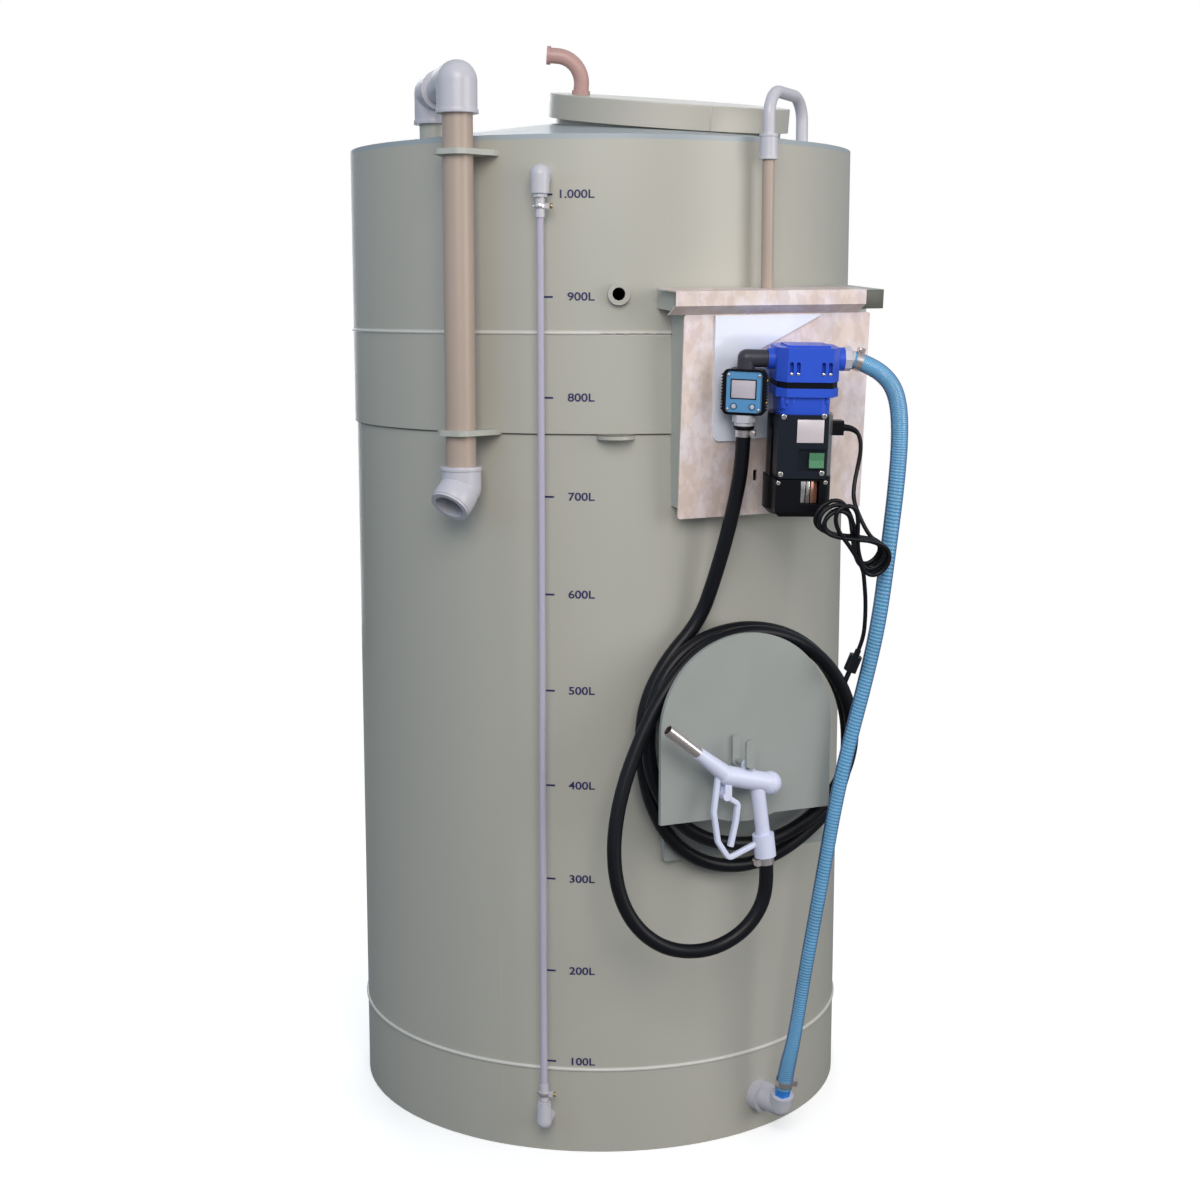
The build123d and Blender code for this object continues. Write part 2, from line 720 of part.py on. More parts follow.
# The return pipe stands on the hood
riser_foot = panel_height + 166.6
with BuildPart() as riser_pipe:
    with BuildSketch(Plane.XY.offset(riser_middle)):
        with Locations((riser_x, riser_y)):
            Circle(vent_pipe_radius)
            Circle(riser_inner, mode=Mode.SUBTRACT)
    extrude(amount=-(riser_middle - riser_foot))
    add(panel_box.part, mode=Mode.SUBTRACT)
    add(rain_hood.part, mode=Mode.SUBTRACT)
riser_pipe.part.label = "riser_pipe"
export_step(riser_pipe.part, "parts/riser_pipe.step")

# Pump head with its two side ports, gasket and lower flange
head_top = 121.0
head_bottom = 67.0
flange_top = 57.0
flange_bottom = 43.0
motor_top = 14.0
motor_bottom = -118.0
head_left = -57.0
head_right = 68.0
port_radius = 17.0


def pump_footprint(grow):
    """Outline of the head seen from above: chamfered block, front flat."""
    with BuildSketch() as outline:
        with BuildLine():
            Polyline(
                (-46 - grow, -34), (-30, -50 - grow), (38, -50 - grow), (56 + grow, -34),
                (56 + grow, 26), (42, 48 + grow), (-32, 48 + grow), (-46 - grow, 26),
                (-46 - grow, -34),
            )
        make_face()
    return outline.sketch


with BuildPart() as pump_head:
    with BuildSketch(face_down(pump, 0, head_top, 0)):
        add(pump_footprint(0.0))
    extrude(amount=head_top - head_bottom)
    with BuildSketch(face_right(pump, head_left, port_height, 0)):
        Circle(port_radius)
    extrude(amount=20.0)
    with BuildSketch(face_right(pump, head_right - 20.0, port_height, 0)):
        Circle(port_radius + 2)
    extrude(amount=20.0)
    with BuildSketch(face_down(pump, 5, head_top, 0)):
        Rectangle(70.0, 60.0)
    extrude(amount=-3.0)
    for side in (-26.0, -15.0, 26.0, 37.0):
        with BuildSketch(face_out(pump, side, 88.0, 38.0)):
            SlotOverall(22.0, 6.5, rotation=90)
        extrude(amount=12.0, mode=Mode.SUBTRACT)
pump_head.part.label = "pump_head"
export_step(pump_head.part, "parts/pump_head.step")

with BuildPart() as pump_gasket:
    with BuildSketch(face_down(pump, 0, head_bottom, 0)):
        add(pump_footprint(-2.0))
    extrude(amount=head_bottom - flange_top)
pump_gasket.part.label = "pump_gasket"
export_step(pump_gasket.part, "parts/pump_gasket.step")

with BuildPart() as pump_flange:
    with BuildSketch(face_down(pump, 0, flange_top, 0)):
        add(pump_footprint(0.0))
    extrude(amount=flange_top - flange_bottom)
    with BuildSketch(face_down(pump, 2, flange_bottom, 0)):
        RectangleRounded(84.0, 84.0, 20.0)
    extrude(amount=flange_bottom - motor_top, taper=2.0)
    for side in (-30.0, -20.0, 26.0, 36.0):
        with BuildSketch(face_down(pump, side, flange_bottom, 38.0)):
            Circle(4.5)
        extrude(amount=11.0)
pump_flange.part.label = "pump_flange"
export_step(pump_flange.part, "parts/pump_flange.step")

with BuildPart() as motor_tube:
    with BuildSketch(face_down(pump, 0, motor_top, 0)):
        Circle(motor_radius)
    extrude(amount=motor_top - motor_bottom)
motor_tube.part.label = "motor_tube"
export_step(motor_tube.part, "parts/motor_tube.step")

# Switch box on the motor, with a recess for the rocker
cover_left = -46.0
cover_right = 36.0
cover_width = cover_right - cover_left
cover_middle = (cover_left + cover_right) / 2
cover_top = 16.0
cover_low = -86.0
cover_front = 60.0
rocker_x = 18.0
rocker_up = -56.0
rocker_width = 24.0
recess_left = 18.0
recess_right = 6.0
rocker_tall = 24.0
rocker_lift = 6.0
rocker_floor = cover_front - 6.0
rocker_gap = 5.5
rocker_pin = 2.0
rocker_play = 0.1
rocker_bar = 8.0
with BuildPart() as motor_cover:
    with BuildSketch(face_down(pump, 0, cover_top, 0)):
        with Locations((cover_middle, cover_front / 2 + 10)):
            Rectangle(cover_width, cover_front - 20)
    extrude(amount=cover_top - cover_low)
    fillet(motor_cover.edges().filter_by(Axis((0, 0, 0), pump.z_dir)), radius=6.0)
    with BuildSketch(face_down(pump, 0, cover_top + 40, 0)):
        Circle(motor_radius)
    extrude(amount=cover_top - cover_low + 80, mode=Mode.SUBTRACT)
    with BuildSketch(face_down(pump, 0, motor_top, 0)):
        with Locations((cover_middle, 25)):
            Rectangle(cover_width + 4, 49)
    extrude(amount=-20.0, mode=Mode.SUBTRACT)
    with BuildSketch(face_out(pump, rocker_x, rocker_up, rocker_floor)):
        with Locations(((recess_right - recess_left) / 2, 0)):
            Rectangle(rocker_width + recess_left + recess_right, rocker_tall + 2 * rocker_gap)
    extrude(amount=20.0, mode=Mode.SUBTRACT)
    with BuildSketch(face_out(pump, rocker_x, rocker_up, rocker_floor)):
        Rectangle(6.0, rocker_bar)
    extrude(amount=rocker_lift - 1.0)
    with BuildSketch(face_right(pump, rocker_x - rocker_width / 2, rocker_up,
                                rocker_floor + rocker_lift)):
        Circle(rocker_pin + rocker_play)
    extrude(amount=rocker_width, mode=Mode.SUBTRACT)
motor_cover.part.label = "motor_cover"
export_step(motor_cover.part, "parts/motor_cover.step")

# Rocker: its round pin lies in the bar on the recess floor
with BuildPart() as switch_rocker:
    with BuildSketch(face_right(pump, rocker_x - rocker_width / 2, rocker_up,
                                rocker_floor + rocker_lift)):
        with BuildLine():
            Polyline(
                (-rocker_tall / 2, 4.5), (0, 2.5), (rocker_tall / 2, 4.5),
                (rocker_tall / 2, 0), (-rocker_tall / 2, 0), (-rocker_tall / 2, 4.5),
            )
        make_face()
        Circle(rocker_pin)
    extrude(amount=rocker_width)
switch_rocker.part.label = "switch_rocker"
export_step(switch_rocker.part, "parts/switch_rocker.step")

# Base cap of the motor, with a window on the motor's side
cap_radius = 55.0
cap_top = -88.0
cap_bottom = -150.0
window_x = 10.5
window_up = -109.0
window_width = 31.0
window_tall = 38.0
with BuildPart() as motor_base:
    with BuildSketch(face_down(pump, 0, cap_top, 0)):
        Circle(cap_radius)
        with Locations((cover_middle, 30)):
            Rectangle(cover_width, 56)
    extrude(amount=cap_top - cap_bottom)
    chamfer(motor_base.faces().sort_by(Axis((0, 0, 0), pump.y_dir))[0].edges(), length=9.0)
    with BuildSketch(face_down(pump, 0, cap_top, 0)):
        Circle(motor_radius)
    extrude(amount=cap_top - motor_bottom, mode=Mode.SUBTRACT)
    with BuildSketch(face_out(pump, window_x, window_up, 20.0)):
        Rectangle(window_width, window_tall)
    extrude(amount=60.0, mode=Mode.SUBTRACT)
motor_base.part.label = "motor_base"
export_step(motor_base.part, "parts/motor_base.step")

# Painted bracket plate on the back plate, cut off along a diagonal, and its foot to the pump
bracket_thickness = 4.0
with BuildPart() as pump_bracket:
    with BuildSketch(face_out(panel, -6.0, 82.0, bracket_thickness)):
        Rectangle(56.0, 34.0)
    extrude(amount=70.0)
    with BuildSketch(face_down(pump, 0, head_top + 40, 0)):
        add(pump_footprint(0.0))
    extrude(amount=200.0, mode=Mode.SUBTRACT)
    with BuildSketch(face_down(pump, 0, head_top + 40, 50)):
        Rectangle(300.0, 192.0)
    extrude(amount=200.0, mode=Mode.SUBTRACT)
    with BuildSketch(panel):
        with BuildLine():
            Polyline(
                (-122, 165), (81, 165), (-34, 110), (60, 100),
                (60, -30), (-60, -40), (-118, -40), (-122, 165),
            )
        make_face()
    extrude(amount=bracket_thickness)
    fillet(pump_bracket.edges().filter_by(Axis((0, 0, 0), panel.z_dir))
           .sort_by_distance(point(panel, -118, -40, 0))[0], radius=12.0)
pump_bracket.part.label = "pump_bracket"
export_step(pump_bracket.part, "parts/pump_bracket.step")

# Gland on the motor's side, where the cord comes out
gland_left = 40.0
gland_end = 71.0
gland_up = -10.0
gland_out = 6.0
with BuildPart() as cord_gland:
    with BuildSketch(face_right(pump, gland_left, gland_up, gland_out)):
        RectangleRounded(24.0, 22.0, 3.0)
    extrude(amount=gland_end - gland_left)
    with BuildSketch(face_down(pump, 0, 60, 0)):
        Circle(motor_radius)
    extrude(amount=140.0, mode=Mode.SUBTRACT)
cord_gland.part.label = "cord_gland"
export_step(cord_gland.part, "parts/cord_gland.step")

# Outlet elbow from the left port down into the flow meter
elbow_radius = 14.5
meter_high = 83.0
meter_low = 9.0
meter_width = 60.0
meter_depth = 34.0
rim_width = 70.0
rim_depth = 10.0
face_width = 58.0
face_tall = 66.0
face_depth = 7.0
display_width = 40.0
display_tall = 30.0
button_spacing = 30.0
button_radius = 4.5
with BuildPart() as outlet_elbow:
    with BuildSketch(face_right(pump, -meter_left, port_height, 0)):
        Circle(elbow_radius)
    extrude(amount=meter_left + head_left)
    with Locations(point(pump, -meter_left, port_height, 0)):
        Sphere(elbow_radius)
    with BuildSketch(face_down(pump, -meter_left, port_height, 0)):
        Circle(elbow_radius)
    extrude(amount=port_height - meter_high)
outlet_elbow.part.label = "outlet_elbow"
export_step(outlet_elbow.part, "parts/outlet_elbow.step")

meter_middle = (meter_high + meter_low) / 2
with BuildPart() as meter_body:
    with BuildSketch(face_out(meter, 0, meter_middle, -22.0)):
        RectangleRounded(meter_width, meter_high - meter_low, 9.0)
    extrude(amount=meter_depth)
    with BuildSketch(face_out(meter, 0, meter_middle, 4.0)):
        RectangleRounded(rim_width, meter_high - meter_low - 1.0, 9.0)
    extrude(amount=rim_depth)
meter_body.part.label = "meter_body"
export_step(meter_body.part, "parts/meter_body.step")

with BuildPart() as meter_face:
    with BuildSketch(face_out(meter, 0, meter_middle, 14.0)):
        RectangleRounded(face_width, face_tall, 6.0)
    extrude(amount=face_depth, taper=12.0)
    with BuildSketch(face_out(meter, 0, meter_middle + 6.0, 20.0)):
        Rectangle(display_width, display_tall)
    extrude(amount=3.0, mode=Mode.SUBTRACT)
    with BuildSketch(face_out(meter, 0, meter_middle - 22.0, 21.0)):
        with Locations((-button_spacing / 2, 0), (button_spacing / 2, 0)):
            Circle(button_radius)
    extrude(amount=1.5)
meter_face.part.label = "meter_face"
export_step(meter_face.part, "parts/meter_face.step")

adapter_low = -13.0
adapter_nut = 12.0
adapter_radius = 16.0
with BuildPart() as meter_adapter:
    with BuildSketch(face_down(meter, 0, meter_low, 0)):
        RegularPolygon(adapter_radius + 3.5, 6)
    extrude(amount=adapter_nut)
    with BuildSketch(face_down(meter, 0, meter_low - adapter_nut, 0)):
        Circle(adapter_radius)
    extrude(amount=meter_low - adapter_nut - adapter_low)
meter_adapter.part.label = "meter_adapter"
export_step(meter_adapter.part, "parts/meter_adapter.step")


def hose_clamp(start, direction, inner, lug_way):
    """Steel band round a hose with a screw block on one side."""
    level = Plane(origin=start, x_dir=lug_way, z_dir=direction)
    with BuildPart() as band:
        with BuildSketch(level):
            Circle(inner + 1.4)
            with Locations((inner + 3.0, 0)):
                Rectangle(9.0, 12.0)
            Circle(inner, mode=Mode.SUBTRACT)
        extrude(amount=11.0)
        with BuildSketch(Plane(origin=start + lug_way * (inner + 3.5) + direction * 5.5,
                               z_dir=direction.cross(lug_way))):
            Circle(3.5)
        extrude(amount=12.0)
    return band.part


hose_drop = meter.y_dir * -1
delivery_start = point(meter, 0, adapter_low, 0)
delivery_clamp = hose_clamp(
    delivery_start + hose_drop * 3.0, hose_drop, delivery_radius + 0.3, meter.x_dir
)
delivery_clamp.label = "delivery_clamp"
export_step(delivery_clamp, "parts/delivery_clamp.step")

# Suction port: pale nipple, then the clamped hose
nipple_end = 79.0
nipple_collar = 4.6
suction_way = (pump.x_dir * cos(radians(16)) - pump.y_dir * sin(radians(16))).normalized()
nipple_face = point(pump, nipple_end, port_height + 1.0, 0)
suction_start = nipple_face + suction_way * nipple_collar
with BuildPart() as suction_nipple:
    with BuildSketch(face_right(pump, head_right, port_height + 1.0, 0)):
        RegularPolygon(20.0, 8)
    extrude(amount=nipple_end - head_right)
    with BuildSketch(Plane(origin=nipple_face, z_dir=suction_way)):
        Circle(suction_radius - 1.0)
    extrude(amount=nipple_collar)
suction_nipple.part.label = "suction_nipple"
export_step(suction_nipple.part, "parts/suction_nipple.step")

suction_clamp = hose_clamp(
    suction_start + suction_way * 3.0, suction_way, suction_radius + 0.3,
    (pump.y_dir * cos(radians(16)) + pump.x_dir * sin(radians(16))).normalized(),
)
suction_clamp.label = "suction_clamp"
export_step(suction_clamp, "parts/suction_clamp.step")

# Hose hanger: back plate with ribs, drum and rounded front plate
back_left = -87.0
back_right = 222.0
back_low = 522.0
back_high = 800.0
back_thickness = 10.0
arch_radius = hanger_width / 2
arch_height = hanger_high - arch_radius
with BuildPart() as hanger_back:
    with BuildSketch(face_out(hanger, 0, 0, hanger_back_face)):
        with Locations(((back_left + back_right) / 2, (back_low + back_high) / 2)):
            RectangleRounded(back_right - back_left, back_high - back_low, 6.0)
    extrude(amount=-back_thickness)
    with BuildSketch(face_out(hanger, 0, 0, hanger_back_face - back_thickness)):
        for rib in (back_left + 12.0, 66.0, back_right - 12.0):
            with Locations((rib, (back_low + back_high) / 2)):
                Rectangle(10.0, back_high - back_low - 30.0)
    extrude(amount=-140.0)
    add(tank_outside.part, mode=Mode.SUBTRACT)
    with BuildSketch(face_out(hanger, hanger_middle, arch_height + 3.0, hanger_back_face)):
        Circle(drum_radius)
        Circle(drum_radius - wall, mode=Mode.SUBTRACT)
    extrude(amount=hanger_front_back - hanger_back_face)
hanger_back.part.label = "hanger_back"
export_step(hanger_back.part, "parts/hanger_back.step")

# Hook on the front plate; the nozzle hangs on it by its ear
ear_right = -4.0
ear_up = 712.0
ear_hole = 5.5
hook_radius = 5.0
hook_tip_out = nozzle_distance + 8.0
with BuildPart() as hanger_front:
    with BuildSketch(face_out(hanger, hanger_middle, 0, hanger_front_back)):
        with Locations((0, arch_height)):
            Circle(arch_radius)
        with Locations((0, (hanger_low + arch_height) / 2)):
            Rectangle(hanger_width, arch_height - hanger_low)
    extrude(amount=hanger_front_face - hanger_front_back)
    with BuildSketch(face_out(hanger, ear_right, ear_up + ear_hole - hook_radius - 0.2, hanger_front_face)):
        Circle(hook_radius)
    extrude(amount=hook_tip_out + 6.0 - hanger_front_face)
    with BuildSketch(face_out(hanger, ear_right - 3.0, 0, hook_tip_out)):
        with Locations((0, 734.0)):
            RectangleRounded(15.0, 46.0, 5.0)
    extrude(amount=7.0)
    with BuildSketch(face_out(hanger, ear_right - 3.0, 0, hanger_front_face)):
        with Locations((0, 731.0)):
            RectangleRounded(15.0, 52.0, 5.0)
    extrude(amount=7.0)
hanger_front.part.label = "hanger_front"
export_step(hanger_front.part, "parts/hanger_front.step")


def nozzle_point(right, up, out=nozzle_distance):
    return point(hanger, right, up, out)


spout_length = 69.2
spout_end = nozzle_point(-95.0, 741.0)
barrel_start = nozzle_point(-42.0, 699.0)
spout_tip = spout_end + (spout_end - barrel_start).normalized() * spout_length
barrel_end = nozzle_point(37.0, 679.0)
handle_top = nozzle_point(13.0, 680.0)
handle_end = nozzle_point(25.5, 594.0)
collar_end = nozzle_point(30.5, 556.0)
barrel_radius = 16.5
bulb_radius = 19.4
sleeve_radius = 10.5
handle_radius = 12.0
collar_radius = 18.0
guard_width = 9.0
pivot_right = -46.0
pivot_up = 666.0
pivot_radius = 2.5
cheek = 3.5
trigger_thick = 11.0

guard_points = [
    nozzle_point(-58.0, 706.0), nozzle_point(-66.0, 640.0), nozzle_point(-58.0, 590.0),
    nozzle_point(-38.0, 560.0), nozzle_point(16.0, 580.0),
]
pin_half = trigger_thick / 2 + 1.0 + cheek
with BuildPart() as nozzle_body:
    with BuildLine():
        FilletPolyline(*guard_points, radius=9.0)
    with BuildSketch(Plane(origin=guard_points[0], x_dir=hanger.z_dir,
                           z_dir=(guard_points[1] - guard_points[0]).normalized())):
        RectangleRounded(10.0, guard_width, 3.0)
    sweep()
    with BuildSketch(along(barrel_start, barrel_end)):
        Circle(barrel_radius)
    extrude(amount=(barrel_end - barrel_start).length)
    with Locations(barrel_end):
        Sphere(bulb_radius)
    with Locations(barrel_start):
        Sphere(barrel_radius)
    with BuildSketch(along(spout_end, barrel_start)):
        Circle(sleeve_radius)
    with BuildSketch(Plane(origin=barrel_start, z_dir=(barrel_start - spout_end).normalized())):
        Circle(barrel_radius - 1.5)
    loft()
    with BuildSketch(along(handle_top, handle_end)):
        Circle(handle_radius)
    extrude(amount=(handle_end - handle_top).length)
    with BuildSketch(along(handle_end, collar_end)):
        Circle(collar_radius)
    extrude(amount=(collar_end - handle_end).length)
    with BuildSketch(face_out(hanger, ear_right, ear_up, nozzle_distance - 4.0)):
        Circle(ear_hole + 5.0)
        with Locations((0, -9.0)):
            Rectangle(2 * (ear_hole + 5.0), 12.0)
    extrude(amount=8.0)
    with BuildSketch(face_out(hanger, ear_right, ear_up, nozzle_distance - 10.0)):
        Circle(ear_hole)
    extrude(amount=20.0, mode=Mode.SUBTRACT)
    for side in (-1, 1):
        with BuildSketch(face_out(hanger, pivot_right, pivot_up, nozzle_distance
                                  + side * (trigger_thick / 2 + 1.0 + cheek / 2) - cheek / 2)):
            Circle(7.0)
            with Locations((2.0, 10.0)):
                Rectangle(12.0, 20.0)
        extrude(amount=cheek)
    with BuildSketch(face_out(hanger, pivot_right, pivot_up, nozzle_distance - pin_half)):
        Circle(pivot_radius)
    extrude(amount=2 * pin_half)
    with BuildSketch(along(spout_end, barrel_start)):
        Circle(sleeve_radius - 2.5)
    extrude(amount=20.0, mode=Mode.SUBTRACT)
nozzle_body.part.label = "nozzle_body"
export_step(nozzle_body.part, "parts/nozzle_body.step")

with BuildPart() as nozzle_spout:
    with BuildSketch(along(spout_tip, spout_end)):
        Circle(9.5)
        Circle(8.0, mode=Mode.SUBTRACT)
    extrude(amount=(spout_end - spout_tip).length)
    with BuildSketch(along(spout_end, spout_tip)):
        Circle(9.0)
        Circle(5.0, mode=Mode.SUBTRACT)
    extrude(amount=3.0)
    with BuildSketch(along(spout_end, barrel_start)):
        Circle(sleeve_radius - 2.6)
        Circle(5.0, mode=Mode.SUBTRACT)
    extrude(amount=20.0)
nozzle_spout.part.label = "nozzle_spout"
export_step(nozzle_spout.part, "parts/nozzle_spout.step")

# Trigger on its pin, swinging towards the handle
trigger_points = [
    nozzle_point(pivot_right, pivot_up), nozzle_point(-22.0, 650.0),
    nozzle_point(-26.0, 618.0), nozzle_point(-35.0, 580.0),
]
with BuildPart() as nozzle_trigger:
    with BuildLine():
        FilletPolyline(*trigger_points, radius=8.0)
    with BuildSketch(Plane(origin=trigger_points[0], x_dir=hanger.z_dir,
                           z_dir=(trigger_points[1] - trigger_points[0]).normalized())):
        RectangleRounded(trigger_thick, 9.0, 3.0)
    sweep()
    with BuildSketch(face_out(hanger, pivot_right, pivot_up, nozzle_distance - trigger_thick / 2)):
        Circle(5.5)
    extrude(amount=trigger_thick)
    with BuildSketch(face_out(hanger, pivot_right, pivot_up, nozzle_distance - 20.0)):
        Circle(pivot_radius + 0.2)
    extrude(amount=40.0, mode=Mode.SUBTRACT)
nozzle_trigger.part.label = "nozzle_trigger"
export_step(nozzle_trigger.part, "parts/nozzle_trigger.step")

nozzle_hose_way = (collar_end - handle_end).normalized()
nozzle_clamp = hose_clamp(
    collar_end + nozzle_hose_way * 2.0, nozzle_hose_way, delivery_radius + 0.3, hanger.x_dir * -1
)
nozzle_clamp.label = "nozzle_clamp"
export_step(nozzle_clamp, "parts/nozzle_clamp.step")

# Outlet low on the shell: flange, elbow turned up, barb and clamp
outlet_corner = point(outlet_frame, 0, 0, tank_radius + 58.0)
outlet_up = Vector(9.0, -27.0, 86.0).normalized()
outlet_radius = 20.0
outlet_flange = 27.0
outlet_leg = 24.0
with BuildPart() as outlet_bend:
    with BuildSketch(face_out(outlet_frame, 0, 0, tank_radius - 50.0)):
        Circle(outlet_flange)
    extrude(amount=70.0)
    add(tank_outside.part, mode=Mode.SUBTRACT)
    with BuildSketch(face_out(outlet_frame, 0, 0, tank_radius + 20.0)):
        Circle(outlet_radius)
    extrude(amount=38.0)
    with Locations(outlet_corner):
        Sphere(outlet_radius)
    with BuildSketch(Plane(origin=outlet_corner, z_dir=outlet_up)):
        Circle(outlet_radius)
    extrude(amount=outlet_leg)
outlet_bend.part.label = "outlet_bend"
export_step(outlet_bend.part, "parts/outlet_bend.step")

barb_length = 14.0
with BuildPart() as outlet_barb:
    with BuildSketch(Plane(origin=outlet_corner + outlet_up * outlet_leg, z_dir=outlet_up)):
        RegularPolygon(14.0, 6)
    extrude(amount=barb_length)
outlet_barb.part.label = "outlet_barb"
export_step(outlet_barb.part, "parts/outlet_barb.step")

suction_end = outlet_corner + outlet_up * (outlet_leg + barb_length)
outlet_clamp = hose_clamp(
    suction_end + outlet_up * 9.0, outlet_up, suction_radius + 0.3,
    (Vector(1, 0, 0) - outlet_up * outlet_up.X).normalized(),
)
outlet_clamp.label = "outlet_clamp"
export_step(outlet_clamp, "parts/outlet_clamp.step")


def hose(points, radius):
    """A round tube along straight runs joined by tangent arcs."""
    radii = corner_radii(points)
    with BuildPart() as body:
        with BuildLine() as line:
            FilletPolyline(*points, radius=radii)
        start = points[0]
        with BuildSketch(Plane(origin=start, z_dir=(points[1] - points[0]).normalized())):
            Circle(radius)
        sweep()
    length = line.wires()[0].length
    print("arc radii", [round(r) for r in radii])
    print("length", round(length), "volume over section times length",
          round(body.part.volume / (pi * radius ** 2 * length), 3))
    return body.part


# Delivery hose: down from the meter, twice round the drum, then up to the nozzle
def drum_point(right, up, out):
    """A point by the hanger, its last number counted from the tank's wall."""
    return point(hanger, right, up, tank_radius + out)


delivery_points = [
    delivery_start,
    delivery_start + hose_drop * 55.0,
    Vector(222, -469, 1143),
    Vector(209, -465, 1082),
    Vector(190, -457, 1010),
    drum_point(-30, 933, 24),
    drum_point(-92, 872, 24),
    drum_point(-132, 800, 24),
    drum_point(-138, 714, 24),
    drum_point(-120, 628, 25),
    drum_point(-82, 560, 26),
    drum_point(-20, 515, 27),
    drum_point(55, 501, 28),
    drum_point(124, 517, 29),
    drum_point(182, 551, 30),
    drum_point(229, 594, 31),
    drum_point(254, 658, 33),
    drum_point(254, 727, 37),
    drum_point(237, 792, 41),
    drum_point(200, 850, 46),
    drum_point(148, 893, 50),
    drum_point(87, 917, 50),
    drum_point(22, 922, 50),
    drum_point(-43, 907, 50),
    drum_point(-98, 867, 50),
    drum_point(-130, 806, 50),
    drum_point(-139, 737, 50),
    drum_point(-126, 668, 51),
    drum_point(-88, 606, 51),
    drum_point(-34, 566, 52),
    drum_point(32, 549, 53),
    drum_point(96, 550, 54),
    drum_point(155, 572, 56),
    drum_point(205, 610, 58),
    drum_point(238, 665, 61),
    drum_point(247, 730, 65),
    drum_point(230, 795, 68),
    drum_point(190, 852, 72),
    drum_point(135, 894, 76),
    drum_point(70, 917, 77),
    drum_point(3, 918, 78),
    drum_point(-62, 893, 79),
    drum_point(-120, 835, 80),
    drum_point(-167, 755, 81),
    drum_point(-205, 665, 87),
    drum_point(-222, 578, 96),
    drum_point(-214, 500, 107),
    drum_point(-182, 442, 118),
    drum_point(-128, 406, 128),
    drum_point(-57, 402, 138),
    drum_point(6, 436, 146),
    collar_end + nozzle_hose_way * 58.0,
    collar_end,
]
delivery_hose = hose(delivery_points, delivery_radius)
delivery_hose.label = "delivery_hose"
export_step(delivery_hose, "parts/delivery_hose.step")

# Suction hose from the outlet up to the pump
suction_points = [
    suction_start,
    suction_start + suction_way * 30.0,
    Vector(469, -468, 1333),
    Vector(484, -468, 1299),
    Vector(488, -468, 1243),
    Vector(484, -467, 1160),
    Vector(473, -466, 1050),
    Vector(461, -466, 938),
    Vector(441, -464, 836),
    Vector(417, -462, 734),
    Vector(396, -460, 630),
    Vector(382, -457, 535),
    Vector(367, -452, 435),
    Vector(352, -446, 335),
    Vector(341, -440, 250),
    Vector(333, -433, 190),
    suction_end + outlet_up * 50.0,
    suction_end,
]
suction_hose = hose(suction_points, suction_radius)
suction_hose.label = "suction_hose"
export_step(suction_hose, "parts/suction_hose.step")

# Power cord: from the gland to the tied hank, then a short tail to the plug
hank_middle = Vector(405.0, -524.0, 1080.5)
hank_way = Vector(78.0, 41.0, -75.0).normalized()
hank_front = (Vector(0, -1, 0) + hank_way * hank_way.Y).normalized()
hank_length = 148.0
hank_width = 50.0
hank_thick = 26.0
with BuildPart() as cord_hank:
    with BuildSketch(Plane(origin=hank_middle - hank_front * (hank_thick / 2), x_dir=hank_way,
                           z_dir=hank_front)):
        SlotOverall(hank_length, hank_width)
    extrude(amount=hank_thick)
    fillet(cord_hank.edges(), radius=8.0)
cord_hank.part.label = "cord_hank"
export_step(cord_hank.part, "parts/cord_hank.step")

cord_start = point(pump, gland_end, gland_up, gland_out)
cord_points = [
    cord_start,
    cord_start + pump.x_dir * 10.5,
    Vector(418.5, -466.5, 1249.5),
    Vector(424.0, -468, 1236),
    Vector(424.5, -469, 1216),
    Vector(420, -470.5, 1193),
    Vector(414.5, -475, 1168),
    Vector(411.5, -484, 1145),
    Vector(413, -499, 1126),
    Vector(418.5, -519, 1094),
]
power_cord = hose(cord_points, cord_radius)
power_cord.label = "power_cord"
export_step(power_cord, "parts/power_cord.step")

plug_way = Vector(-10.0, 1.5, -26.0).normalized()
plug_start = Vector(425.0, -487.0, 892.0)
tail_points = [
    Vector(425.5, -513, 1032),
    Vector(429.5, -508, 1007),
    Vector(433, -501, 978),
    Vector(434, -495, 945),
    plug_start - plug_way * 21.0,
    plug_start,
]
cord_tail = hose(tail_points, cord_radius)
cord_tail.label = "cord_tail"
export_step(cord_tail, "parts/cord_tail.step")

with BuildPart() as power_plug:
    with BuildSketch(Plane(origin=plug_start, x_dir=(0, 1, 0), z_dir=plug_way)):
        Circle(5.0)
    extrude(amount=12.0)
    with BuildSketch(Plane(origin=plug_start + plug_way * 10.0, x_dir=(0, 1, 0), z_dir=plug_way)):
        RectangleRounded(26.0, 20.0, 8.0)
    extrude(amount=28.0)
    with BuildSketch(Plane(origin=plug_start + plug_way * 38.0, x_dir=(0, 1, 0), z_dir=plug_way)):
        with Locations((-9.5, 0), (9.5, 0)):
            Circle(2.4)
    extrude(amount=19.0)
    with BuildSketch(Plane(origin=plug_start + plug_way * 36.0, x_dir=(0, 1, 0), z_dir=plug_way)):
        Rectangle(24.0, 8.0)
    extrude(amount=2.0)
power_plug.part.label = "power_plug"
export_step(power_plug.part, "parts/power_plug.step")

for name, points in (
    ("delivery", delivery_points), ("suction", suction_points),
    ("cord", cord_points), ("tail", tail_points),
):
    print(name, "route in metres:")
    for p in points:
        print("   ", round(p.X / 1000, 4), round(p.Y / 1000, 4), round(p.Z / 1000, 4))
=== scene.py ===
import math

import bpy
from bpy.props import FloatProperty, FloatVectorProperty, PointerProperty
from mathutils import Matrix, Vector


